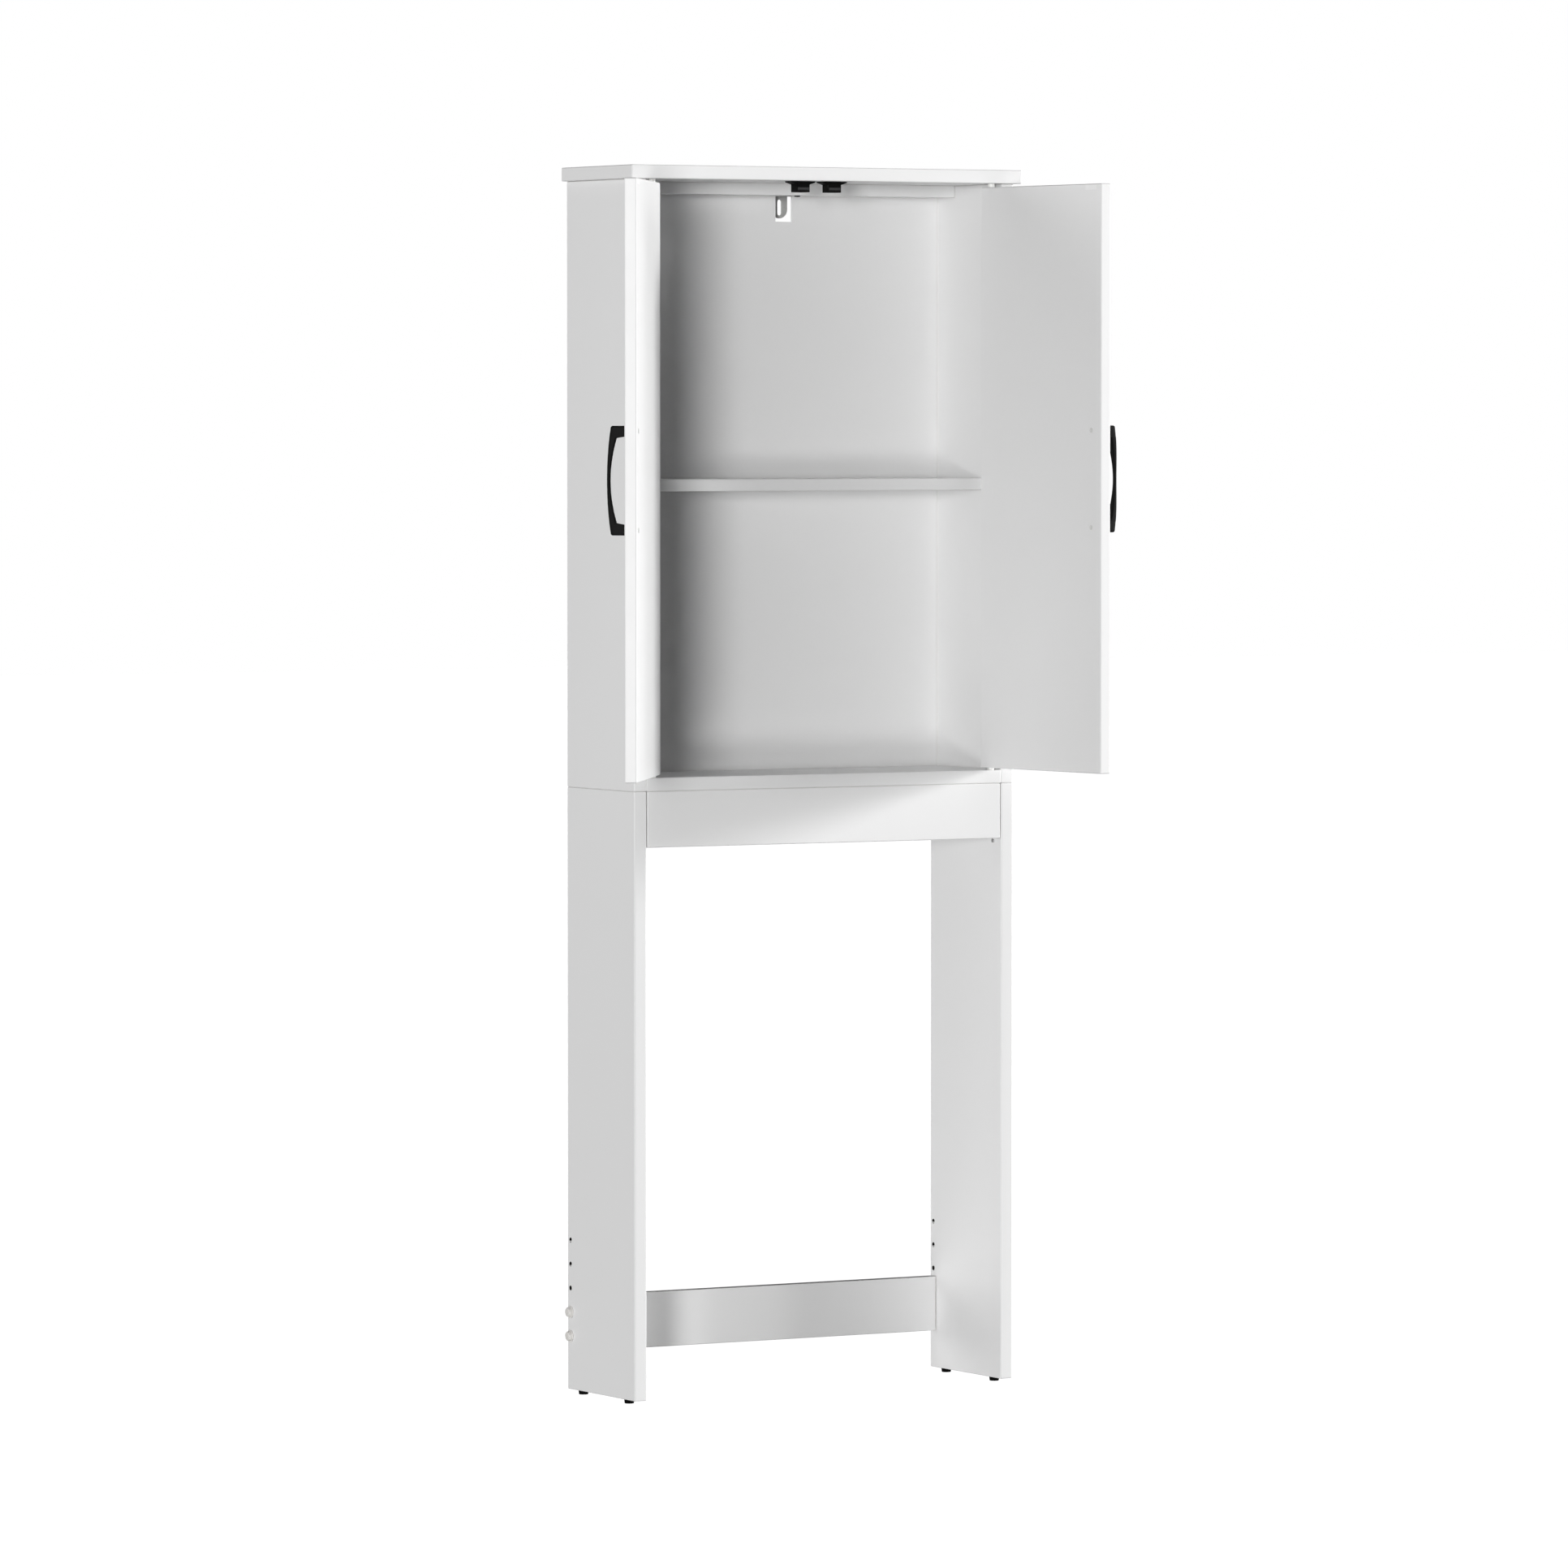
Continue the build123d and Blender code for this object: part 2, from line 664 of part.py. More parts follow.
with BuildPart() as bracket_screw:
    rods([bracket_screw_point], upright, bracket_screw_radius, bracket_screw_length)
    rods([bracket_screw_point], downward, bracket_screw_head_radius, bracket_screw_head_height)
    fillet(bracket_screw.edges().group_by(Axis.Z)[0], bracket_screw_head_round)
bracket_screw.part.label = "bracket_screw"
export_step(bracket_screw.part, "parts/bracket_screw.step")

# ---------------------------------------------------------------- leg fittings

cap_seats = {side: [(side * half_width, leg_hole_y, z) for z in bolt_heights] for side in sides.values()}

with BuildPart() as rail_bolts:
    for side, seats in cap_seats.items():
        rods(seats, (-side, 0, 0), bolt_radius, bolt_length)
        rods(seats, (side, 0, 0), bolt_head_radius, bolt_head_height)
rail_bolts.part.label = "rail_bolts"
export_step(rail_bolts.part, "parts/rail_bolts.step")

with BuildPart() as barrel_nuts:
    for side in sides.values():
        rods([(side * nut_x, back_y, z) for z in bolt_heights], forward, nut_radius, nut_length)
        bolt_ways = [(side * rail_end, leg_hole_y, z) for z in bolt_heights]
        bores(bolt_ways, (-side, 0, 0), bolt_radius, rail_bore_depth)
barrel_nuts.part.label = "barrel_nuts"
export_step(barrel_nuts.part, "parts/barrel_nuts.step")

with BuildPart() as bolt_caps:
    for side, seats in cap_seats.items():
        rods(seats, (side, 0, 0), cap_flange_radius, cap_flange_height)
        rods(seats, (side, 0, 0), cap_knob_radius, cap_height)
    crowns = bolt_caps.edges().filter_by(GeomType.CIRCLE).group_by(Axis.X)
    fillet(crowns[0] + crowns[-1], cap_round)
    for side, seats in cap_seats.items():
        bores(seats, (side, 0, 0), cap_hollow_radius, cap_hollow_depth)
bolt_caps.part.label = "bolt_caps"
export_step(bolt_caps.part, "parts/bolt_caps.step")

with BuildPart() as feet:
    for side in sides.values():
        with Locations(*[(side * board_mid, y, 0) for y in foot_y]):
            Cone(
                foot_base_radius,
                foot_top_radius,
                foot_height,
                align=(Align.CENTER, Align.CENTER, Align.MIN),
            )
        rods([(side * board_mid, y, foot_height) for y in foot_y], upright, spigot_radius, spigot_length)
feet.part.label = "feet"
export_step(feet.part, "parts/feet.step")

with BuildPart() as leg_pins:
    for side in sides.values():
        inner_tip = (side * (inner_half - leg_pin_proud), leg_pin_y, leg_pin_z)
        rods([inner_tip], (side, 0, 0), leg_pin_radius, leg_pin_depth + leg_pin_proud)
leg_pins.part.label = "leg_pins"
export_step(leg_pins.part, "parts/leg_pins.step")

# ---------------------------------------------------------------- dowels and cam fittings

with BuildPart() as dowels:
    for side in sides.values():
        blind_end = side * (inner_half + dowel_in_board)
        places = side_dowels + leg_dowels
        rods([(blind_end, y, z) for y, z in places], (-side, 0, 0), dowel_radius, dowel_length)
        for base in (seam_height - dowel_length / 2, top_underside + dowel_in_board - dowel_length):
            rods([(side * board_mid, y, base) for y in upright_dowel_y], upright, dowel_radius, dowel_length)
dowels.part.label = "dowels"
export_step(dowels.part, "parts/dowels.step")

with BuildPart() as cam_bolts:
    for side in sides.values():
        places = side_cams + leg_cams
        blind_end = side * (inner_half + cam_bolt_in_board)
        head_start = side * (inner_half - cam_from_end + cam_bolt_head_length)
        neck = cam_bolt_in_board + cam_from_end
        inwards = (-side, 0, 0)
        rods([(blind_end, y, z) for y, z in places], inwards, cam_bolt_radius, neck)
        rods([(head_start, y, z) for y, z in places], inwards, cam_bolt_head_radius, cam_bolt_head_length)
cam_bolts.part.label = "cam_bolts"
export_step(cam_bolts.part, "parts/cam_bolts.step")

with BuildPart() as cam_locks:
    rods(cam_points(floor_cam_y, seam_height), upright, cam_radius, cam_height)
    rods(cam_points(shelf_cam_y, shelf_height), upright, cam_radius, cam_height)
    rods(cam_points(top_rail_cam_y, top_rail_underside), upright, cam_radius, cam_height)
    rods(cam_points(front_y + thin_board, apron_cam_height), forward, cam_radius, cam_height)
    for side in sides.values():
        cam_bolt_ways = inner_points(side, side_cams + leg_cams)
        bores(cam_bolt_ways, (-side, 0, 0), cam_bore_radius, cam_from_end + pocket_clearance)
    level_faces = cam_points(floor_cam_y, seam_height)
    level_faces += cam_points(shelf_cam_y, shelf_height)
    level_faces += cam_points(top_rail_cam_y, top_rail_underside)
    with Locations(*level_faces):
        Box(
            cam_slot_length,
            cam_slot_width,
            cam_slot_depth,
            align=(Align.CENTER, Align.CENTER, Align.MIN),
            mode=Mode.SUBTRACT,
        )
cam_locks.part.label = "cam_locks"
export_step(cam_locks.part, "parts/cam_locks.step")
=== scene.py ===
"""Looks of an over-the-toilet storage rack, built around its fixed CAD frame.

White lacquered boards, two open doors with black bow handles, and the small fittings that
hold them. Every length is in metres. The frame has +Z up and +Y towards the wall.
"""

import json
import logging
import math
from collections.abc import Callable, Sequence
from dataclasses import dataclass, field, replace
from enum import Enum

import bpy
import numpy as np
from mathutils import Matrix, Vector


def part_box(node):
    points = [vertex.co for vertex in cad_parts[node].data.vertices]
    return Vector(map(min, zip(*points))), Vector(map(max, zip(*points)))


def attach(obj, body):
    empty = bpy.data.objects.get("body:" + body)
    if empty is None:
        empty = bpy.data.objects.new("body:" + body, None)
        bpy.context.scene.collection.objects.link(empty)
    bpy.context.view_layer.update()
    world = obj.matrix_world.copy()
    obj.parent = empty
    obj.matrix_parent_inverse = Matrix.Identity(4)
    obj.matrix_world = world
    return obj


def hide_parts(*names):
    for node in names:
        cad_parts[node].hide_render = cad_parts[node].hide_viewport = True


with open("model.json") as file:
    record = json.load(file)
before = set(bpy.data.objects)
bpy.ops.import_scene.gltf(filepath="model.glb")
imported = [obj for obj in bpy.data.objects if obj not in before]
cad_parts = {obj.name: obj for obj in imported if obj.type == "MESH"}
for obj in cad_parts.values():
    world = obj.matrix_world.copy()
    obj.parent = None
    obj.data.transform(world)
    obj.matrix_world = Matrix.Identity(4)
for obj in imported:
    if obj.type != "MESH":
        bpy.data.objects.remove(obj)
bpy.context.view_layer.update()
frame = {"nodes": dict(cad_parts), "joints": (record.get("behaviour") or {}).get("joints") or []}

LOG = logging.getLogger("storage_rack")
UP = np.array([0.0, 0.0, 1.0])
POLE_RADIUS = 0.0002
SHANK_RADIUS = 0.002
SHANK_SPOKES = 24
Profile = np.ndarray
Relief = Callable[[np.ndarray, np.ndarray], np.ndarray]


class Body(Enum):
    """The rigid bodies that pieces ride on."""

    CABINET = "cabinet"
    LEFT_DOOR = "left_door"
    RIGHT_DOOR = "right_door"


class Side(Enum):
    """The two doors, and the sign of the side that each one hangs on."""

    LEFT = -1
    RIGHT = 1

    @property
    def word(self) -> str:
        """Returns: the side's word in node and body names."""
        return self.name.lower()

    @property
    def body(self) -> Body:
        """Returns: the door body on this side."""
        return Body(f"{self.word}_door")


# ---------------------------------------------------------------- surfaces


@dataclass(frozen=True)
class Patch:
    """One closed surface: its points and its faces."""

    points: np.ndarray
    faces: list[list[int]]

    def outward(self) -> "Patch":
        """Turns the faces outwards.

        The signed volume is the sum over faces of the triple product of their first three
        corners, which is negative when the faces point inwards.

        Returns:
            The same surface with its faces pointing out.
        """
        first = self.points[[face[0] for face in self.faces]]
        second = self.points[[face[1] for face in self.faces]]
        third = self.points[[face[2] for face in self.faces]]
        last = self.points[[face[-1] for face in self.faces]]
        middle = self.points.mean(axis=0)
        lower = np.einsum("ij,ij->i", first - middle, np.cross(second - middle, third - middle))
        upper = np.einsum("ij,ij->i", first - middle, np.cross(third - middle, last - middle))
        if float(lower.sum() + upper.sum()) >= 0.0:
            return self
        return Patch(self.points, [face[::-1] for face in self.faces])


def closed_grid(grid: np.ndarray) -> Patch:
    """Closes a grid of rings into one surface.

    Point (i, j) is the j-th point of ring i. Quads join ring i to ring i + 1 and wrap round in j,
    and a fan to the middle of the first and of the last ring closes the two ends.

    Args:
        grid: Points with the shape (rings, points in a ring, 3).

    Returns:
        The closed surface, with its faces pointing out.
    """
    rings, spokes, _ = grid.shape
    row, column = np.meshgrid(np.arange(rings - 1), np.arange(spokes), indexing="ij")
    after = (column + 1) % spokes
    corners = [row * spokes + column, row * spokes + after]
    corners += [(row + 1) * spokes + after, (row + 1) * spokes + column]
    quads = np.stack(corners, axis=-1).reshape(-1, 4)
    points = np.vstack([grid.reshape(-1, 3), grid[0].mean(axis=0), grid[-1].mean(axis=0)])
    around = np.arange(spokes)
    ahead = (around + 1) % spokes
    start = np.stack([np.full(spokes, rings * spokes), ahead, around], axis=-1)
    base = (rings - 1) * spokes
    stop = np.stack([np.full(spokes, rings * spokes + 1), base + around, base + ahead], axis=-1)
    return Patch(points, quads.tolist() + start.tolist() + stop.tolist()).outward()


def cross_axes(axis: np.ndarray) -> tuple[np.ndarray, np.ndarray]:
    """Two unit vectors square to an axis and to each other.

    Args:
        axis: A unit vector.

    Returns:
        The two vectors.
    """
    seed = UP if abs(axis[2]) < 0.9 else np.array([1.0, 0.0, 0.0])
    first = np.cross(seed, axis)
    first /= np.linalg.norm(first)
    return first, np.cross(axis, first)


def turned(
    profile: Profile, seat: np.ndarray, axis: np.ndarray, spokes: int, relief: Relief | None = None
) -> Patch:
    """A profile turned round an axis.

    The point at profile step i and angle a is seat + r_i (u cos a + v sin a) + (h_i + d) axis,
    where u and v are square to the axis and d is the relief at (r_i cos a, r_i sin a).

    Args:
        profile: Radius and height pairs, from one end of the axis to the other.
        seat: The point where the height is zero.
        axis: Unit vector of growing height.
        spokes: Points round the axis.
        relief: Height to add on the upper face, from the two coordinates across it.

    Returns:
        The closed surface.
    """
    u, v = cross_axes(axis)
    angle = np.linspace(0.0, 2.0 * math.pi, spokes, endpoint=False)
    x = profile[:, :1] * np.cos(angle)
    y = profile[:, :1] * np.sin(angle)
    height = np.repeat(profile[:, 1:], spokes, axis=1)
    if relief is not None:
        height = height + relief(x, y) * (height > 0.5 * profile[:, 1].max())
    grid = seat + x[..., None] * u + y[..., None] * v + height[..., None] * axis
    return closed_grid(grid)


def rounded_profile(stations: Sequence[tuple[float, float, float]], steps: int = 6) -> Profile:
    """A turning profile with rounded corners.

    Each corner is cut back by its round along both of its legs, and a quadratic curve through the
    corner joins the two cuts: (1 - t)^2 a + 2 t (1 - t) corner + t^2 b.

    Args:
        stations: Radius, height and round of each corner, from end to end.
        steps: Points in each rounded corner.

    Returns:
        Radius and height pairs.
    """
    corners = np.array([(radius, height) for radius, height, _ in stations])
    t = np.linspace(0.0, 1.0, steps)[:, None]
    pieces = [corners[:1]]
    for before, corner, after, (_, _, cut) in zip(corners, corners[1:], corners[2:], stations[1:-1]):
        start = corner + (before - corner) / np.linalg.norm(before - corner) * cut
        stop = corner + (after - corner) / np.linalg.norm(after - corner) * cut
        pieces.append((1 - t) ** 2 * start + 2 * t * (1 - t) * corner + t**2 * stop)
    pieces.append(corners[-1:])
    return np.vstack(pieces)


def smooth_step(value: np.ndarray) -> np.ndarray:
    """A soft step from 0 to 1: 3 x^2 - 2 x^3 with x kept between 0 and 1.

    Args:
        value: Where the step is at 0.0 at its start and 1.0 at its end.

    Returns:
        The stepped value.
    """
    x = np.clip(value, 0.0, 1.0)
    return x * x * (3.0 - 2.0 * x)


@dataclass(frozen=True)
class CrossRecess:
    """A cross-shaped driver recess in a screw's head."""

    reach: float
    half_width: float
    depth: float
    slope: float = 0.0003

    def __call__(self, x: np.ndarray, y: np.ndarray) -> np.ndarray:
        """The recess as a height: minus the depth inside either arm, with sloped walls.

        Args:
            x: First coordinate across the head.
            y: Second coordinate across the head.

        Returns:
            The height to add at each point.
        """
        lengthways = smooth_step((self.reach - np.abs(x)) / self.slope)
        across = smooth_step((self.half_width - np.abs(y)) / self.slope)
        sideways = smooth_step((self.reach - np.abs(y)) / self.slope)
        athwart = smooth_step((self.half_width - np.abs(x)) / self.slope)
        return -self.depth * np.maximum(lengthways * across, sideways * athwart)


def head_profile(radius: float, height: float, rings: int = 34) -> Profile:
    """A pan head's profile: a low dome of rings, a rounded rim and a straight side.

    The dome's height is height (0.72 + 0.28 (1 - (r / radius)^2)) and the rim is a quarter curve.

    Args:
        radius: Radius of the head.
        height: Height of the head.
        rings: Rings across the dome.

    Returns:
        Radius and height pairs, from the top's middle to the seat's middle.
    """
    dome_share, rim_share = 0.28, 0.1
    share = np.linspace(0.012, 1.0 - rim_share, rings)
    lift = (1.0 - dome_share) + dome_share * (1.0 - share**2)
    dome = np.stack([share * radius, height * lift], axis=-1)
    edge = dome[-1, 1]
    turn = np.linspace(0.0, math.pi / 2, 7)[1:]
    rim_r = radius * (1.0 - rim_share + rim_share * np.sin(turn))
    rim_h = edge - rim_share * radius * (1.0 - np.cos(turn))
    seat = np.array([[radius, 0.0], [radius * 0.5, 0.0]])
    return np.vstack([dome, np.stack([rim_r, rim_h], axis=-1), seat])


def shank_profile(straight: float, tip: float, corner: float) -> Profile:
    """A screw shank's profile: a straight length, and a tip that narrows to the axis.

    Args:
        straight: Length at the full radius.
        tip: Further length down to the point, or zero for a flat end.
        corner: Round between the two.

    Returns:
        Radius and height pairs, from the head to the end.
    """
    seat = [(POLE_RADIUS, 0.0, 0.0), (SHANK_RADIUS, 0.0, 0.0001)]
    end = [(SHANK_RADIUS, straight, corner), (POLE_RADIUS, straight + tip, 0.0)]
    return rounded_profile(seat + end)


def add_piece(
    name: str, patches: Sequence[Patch], body: Body, finish: "Finish"
) -> bpy.types.Object:
    """Makes one piece from closed surfaces and lets it ride on a body.

    Args:
        name: Name of the piece.
        patches: The closed surfaces that it is made of.
        body: Body that it rides on.
        finish: Finish of its surface.

    Returns:
        The new object.
    """
    shift = np.cumsum([0] + [len(patch.points) for patch in patches])
    points = np.vstack([patch.points for patch in patches])
    faces = [[int(i + offset) for i in face] for patch, offset in zip(patches, shift) for face in patch.faces]
    mesh = bpy.data.meshes.new(name)
    mesh.from_pydata(points.tolist(), [], faces)
    mesh.polygons.foreach_set("use_smooth", np.ones(len(mesh.polygons), dtype=bool))
    mesh.materials.append(finish.material())
    mesh.update()
    piece = bpy.data.objects.new(name, mesh)
    bpy.context.scene.collection.objects.link(piece)
    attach(piece, body.value)
    LOG.info("built %s: %d points on %s", name, len(points), body.value)
    return piece


def node_points(node: str) -> np.ndarray:
    """The vertices of a CAD node.

    Args:
        node: Name of the node.

    Returns:
        Points with the shape (vertices, 3).
    """
    mesh = frame["nodes"][node].data
    points = np.empty(len(mesh.vertices) * 3, dtype=np.float32)
    mesh.vertices.foreach_get("co", points)
    return points.reshape(-1, 3).astype(float)


def node_box(node: str) -> tuple[np.ndarray, np.ndarray]:
    """The lowest and highest corner of a CAD node, as arrays."""
    low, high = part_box(node)
    return np.array(low), np.array(high)


# ---------------------------------------------------------------- shader groups


def new_group(
    name: str, inputs: dict[str, tuple[str, object]], outputs: dict[str, str]
) -> bpy.types.NodeTree:
    """An empty shader node group with named sockets.

    Args:
        name: Name of the group.
        inputs: Socket type and default of each input.
        outputs: Socket type of each output.

    Returns:
        The group's node tree, holding its input and output nodes.
    """
    tree = bpy.data.node_groups.new(name, "ShaderNodeTree")
    for label, (kind, default) in inputs.items():
        tree.interface.new_socket(name=label, in_out="INPUT", socket_type=kind).default_value = default
    for label, kind in outputs.items():
        tree.interface.new_socket(name=label, in_out="OUTPUT", socket_type=kind)
    tree.nodes.new("NodeGroupInput")
    tree.nodes.new("NodeGroupOutput")
    return tree


class ShaderGroups:
    """The effects that several finishes share, each built once and kept by name."""

    def __init__(self) -> None:
        """Starts with no group built."""
        self._built: dict[str, bpy.types.NodeTree] = {}

    def get(self, name: str) -> bpy.types.NodeTree:
        """Returns: the group of that name, built on its first use."""
        if name not in self._built:
            self._built[name] = getattr(self, f"_{name}")()
        return self._built[name]

    @staticmethod
    def _ends(tree: bpy.types.NodeTree) -> tuple[bpy.types.Node, bpy.types.Node]:
        """Returns: a group's input node and output node."""
        return tree.nodes["Group Input"], tree.nodes["Group Output"]

    def _cloud_tint(self) -> bpy.types.NodeTree:
        """Soft clouds that lighten and darken a colour by a small share."""
        inputs = {
            "Color": ("NodeSocketColor", (0.8, 0.8, 0.8, 1.0)),
            "Spread": ("NodeSocketFloat", 0.02),
            "Scale": ("NodeSocketFloat", 6.0),
            "Vector": ("NodeSocketVector", (0.0, 0.0, 0.0)),
        }
        tree = new_group("cloud_tint", inputs, {"Color": "NodeSocketColor"})
        start, end = self._ends(tree)
        noise = tree.nodes.new("ShaderNodeTexNoise")
        noise.inputs["Detail"].default_value = 3.0
        centred = tree.nodes.new("ShaderNodeMath")
        centred.operation = "SUBTRACT"
        centred.inputs[1].default_value = 0.5
        scaled = tree.nodes.new("ShaderNodeMath")
        scaled.operation = "MULTIPLY_ADD"
        scaled.inputs[2].default_value = 1.0
        tint = tree.nodes.new("ShaderNodeVectorMath")
        tint.operation = "SCALE"
        tree.links.new(start.outputs["Vector"], noise.inputs["Vector"])
        tree.links.new(start.outputs["Scale"], noise.inputs["Scale"])
        tree.links.new(noise.outputs["Fac"], centred.inputs[0])
        tree.links.new(centred.outputs[0], scaled.inputs[0])
        tree.links.new(start.outputs["Spread"], scaled.inputs[1])
        tree.links.new(start.outputs["Color"], tint.inputs[0])
        tree.links.new(scaled.outputs[0], tint.inputs["Scale"])
        tree.links.new(tint.outputs["Vector"], end.inputs["Color"])
        return tree

    def _rubbed_sheen(self) -> bpy.types.NodeTree:
        """A roughness that wanders between a smooth and a rough value, with fine flecks in it."""
        inputs = {
            "Roughness": ("NodeSocketFloat", 0.4),
            "Spread": ("NodeSocketFloat", 0.05),
            "Scale": ("NodeSocketFloat", 20.0),
            "Vector": ("NodeSocketVector", (0.0, 0.0, 0.0)),
        }
        tree = new_group("rubbed_sheen", inputs, {"Roughness": "NodeSocketFloat"})
        start, end = self._ends(tree)
        noise = tree.nodes.new("ShaderNodeTexNoise")
        noise.inputs["Detail"].default_value = 6.0
        noise.inputs["Roughness"].default_value = 0.65
        centred = tree.nodes.new("ShaderNodeMath")
        centred.operation = "SUBTRACT"
        centred.inputs[1].default_value = 0.5
        spread = tree.nodes.new("ShaderNodeMath")
        spread.operation = "MULTIPLY_ADD"
        spread.use_clamp = True
        tree.links.new(start.outputs["Vector"], noise.inputs["Vector"])
        tree.links.new(start.outputs["Scale"], noise.inputs["Scale"])
        tree.links.new(noise.outputs["Fac"], centred.inputs[0])
        tree.links.new(centred.outputs[0], spread.inputs[0])
        tree.links.new(start.outputs["Spread"], spread.inputs[1])
        tree.links.new(start.outputs["Roughness"], spread.inputs[2])
        tree.links.new(spread.outputs[0], end.inputs["Roughness"])
        return tree

    def _fine_relief(self) -> bpy.types.NodeTree:
        """A height of two noises, one fine and one four times coarser, stretched along an axis."""
        inputs = {
            "Vector": ("NodeSocketVector", (0.0, 0.0, 0.0)),
            "Stretch": ("NodeSocketVector", (1.0, 1.0, 1.0)),
            "Scale": ("NodeSocketFloat", 400.0),
        }
        tree = new_group("fine_relief", inputs, {"Height": "NodeSocketFloat"})
        start, end = self._ends(tree)
        stretch = tree.nodes.new("ShaderNodeVectorMath")
        stretch.operation = "MULTIPLY"
        fine = tree.nodes.new("ShaderNodeTexNoise")
        fine.inputs["Detail"].default_value = 2.0
        coarse = tree.nodes.new("ShaderNodeTexNoise")
        coarse.inputs["Detail"].default_value = 1.0
        quarter = tree.nodes.new("ShaderNodeMath")
        quarter.operation = "MULTIPLY"
        quarter.inputs[1].default_value = 0.25
        blend = tree.nodes.new("ShaderNodeMath")
        blend.operation = "ADD"
        tree.links.new(start.outputs["Vector"], stretch.inputs[0])
        tree.links.new(start.outputs["Stretch"], stretch.inputs[1])
        tree.links.new(stretch.outputs["Vector"], fine.inputs["Vector"])
        tree.links.new(stretch.outputs["Vector"], coarse.inputs["Vector"])
        tree.links.new(start.outputs["Scale"], fine.inputs["Scale"])
        tree.links.new(start.outputs["Scale"], quarter.inputs[0])
        tree.links.new(quarter.outputs[0], coarse.inputs["Scale"])
        tree.links.new(fine.outputs["Fac"], blend.inputs[0])
        tree.links.new(coarse.outputs["Fac"], blend.inputs[1])
        tree.links.new(blend.outputs[0], end.inputs["Height"])
        return tree

    def _painted_crease_shade(self) -> bpy.types.NodeTree:
        """Painted shade: a colour that darkens slightly where two surfaces meet, driven by ambient occlusion.
        """
        inputs = {
            "Color": ("NodeSocketColor", (0.8, 0.8, 0.8, 1.0)),
            "Shade": ("NodeSocketColor", (0.6, 0.58, 0.55, 1.0)),
            "Strength": ("NodeSocketFloat", 0.3),
            "Reach": ("NodeSocketFloat", 0.004),
        }
        tree = new_group("painted_crease_shade", inputs, {"Color": "NodeSocketColor"})
        start, end = self._ends(tree)
        # Painted shade: ambient occlusion darkens the colour in creases and joints.
        crevice = tree.nodes.new("ShaderNodeAmbientOcclusion")
        crevice.samples = 4
        closed = tree.nodes.new("ShaderNodeMath")
        closed.operation = "SUBTRACT"
        closed.inputs[0].default_value = 1.0
        amount = tree.nodes.new("ShaderNodeMath")
        amount.operation = "MULTIPLY"
        blend = tree.nodes.new("ShaderNodeMix")
        blend.data_type = "RGBA"
        tree.links.new(start.outputs["Reach"], crevice.inputs["Distance"])
        tree.links.new(crevice.outputs["AO"], closed.inputs[1])
        tree.links.new(closed.outputs[0], amount.inputs[0])
        tree.links.new(start.outputs["Strength"], amount.inputs[1])
        tree.links.new(amount.outputs[0], blend.inputs["Factor"])
        tree.links.new(start.outputs["Color"], blend.inputs["A"])
        tree.links.new(start.outputs["Shade"], blend.inputs["B"])
        tree.links.new(blend.outputs["Result"], end.inputs["Color"])
        return tree

    def _bore_row(self) -> bpy.types.NodeTree:
        """One inside the holes of an upright row that run along X, and zero outside them.

        The height is folded to the nearest hole: w = pitch round((z - lowest) / pitch), kept
        between zero and the row's length, and the result is
        sqrt((y - row)^2 + (z - lowest - w)^2) < radius.
        """
        inputs = {
            "Vector": ("NodeSocketVector", (0.0, 0.0, 0.0)),
            "RowY": ("NodeSocketFloat", 0.0),
            "LowestZ": ("NodeSocketFloat", 0.0),
            "Pitch": ("NodeSocketFloat", 0.032),
            "Length": ("NodeSocketFloat", 0.128),
            "Radius": ("NodeSocketFloat", 0.003),
        }
        tree = new_group("bore_row", inputs, {"Inside": "NodeSocketFloat"})
        start, end = self._ends(tree)
        parts = tree.nodes.new("ShaderNodeSeparateXYZ")
        across = tree.nodes.new("ShaderNodeMath")
        across.operation = "SUBTRACT"
        rise = tree.nodes.new("ShaderNodeMath")
        rise.operation = "SUBTRACT"
        nearest = tree.nodes.new("ShaderNodeMath")
        nearest.operation = "SNAP"
        kept = tree.nodes.new("ShaderNodeClamp")
        halfway = tree.nodes.new("ShaderNodeMath")
        halfway.operation = "MULTIPLY_ADD"
        halfway.inputs[1].default_value = 0.5
        folded = tree.nodes.new("ShaderNodeMath")
        folded.operation = "SUBTRACT"
        pair = tree.nodes.new("ShaderNodeCombineXYZ")
        length = tree.nodes.new("ShaderNodeVectorMath")
        length.operation = "LENGTH"
        inside = tree.nodes.new("ShaderNodeMath")
        inside.operation = "LESS_THAN"
        tree.links.new(start.outputs["Vector"], parts.inputs[0])
        tree.links.new(parts.outputs["Y"], across.inputs[0])
        tree.links.new(start.outputs["RowY"], across.inputs[1])
        tree.links.new(parts.outputs["Z"], rise.inputs[0])
        tree.links.new(start.outputs["LowestZ"], rise.inputs[1])
        tree.links.new(start.outputs["Pitch"], halfway.inputs[0])
        tree.links.new(rise.outputs[0], halfway.inputs[2])
        tree.links.new(halfway.outputs[0], nearest.inputs[0])
        tree.links.new(start.outputs["Pitch"], nearest.inputs[1])
        tree.links.new(rise.outputs[0], folded.inputs[0])
        tree.links.new(nearest.outputs[0], kept.inputs["Value"])
        tree.links.new(start.outputs["Length"], kept.inputs["Max"])
        tree.links.new(kept.outputs["Result"], folded.inputs[1])
        tree.links.new(across.outputs[0], pair.inputs["X"])
        tree.links.new(folded.outputs[0], pair.inputs["Y"])
        tree.links.new(pair.outputs[0], length.inputs[0])
        tree.links.new(length.outputs["Value"], inside.inputs[0])
        tree.links.new(start.outputs["Radius"], inside.inputs[1])
        tree.links.new(inside.outputs[0], end.inputs["Inside"])
        return tree


GROUPS = ShaderGroups()


# ---------------------------------------------------------------- finishes


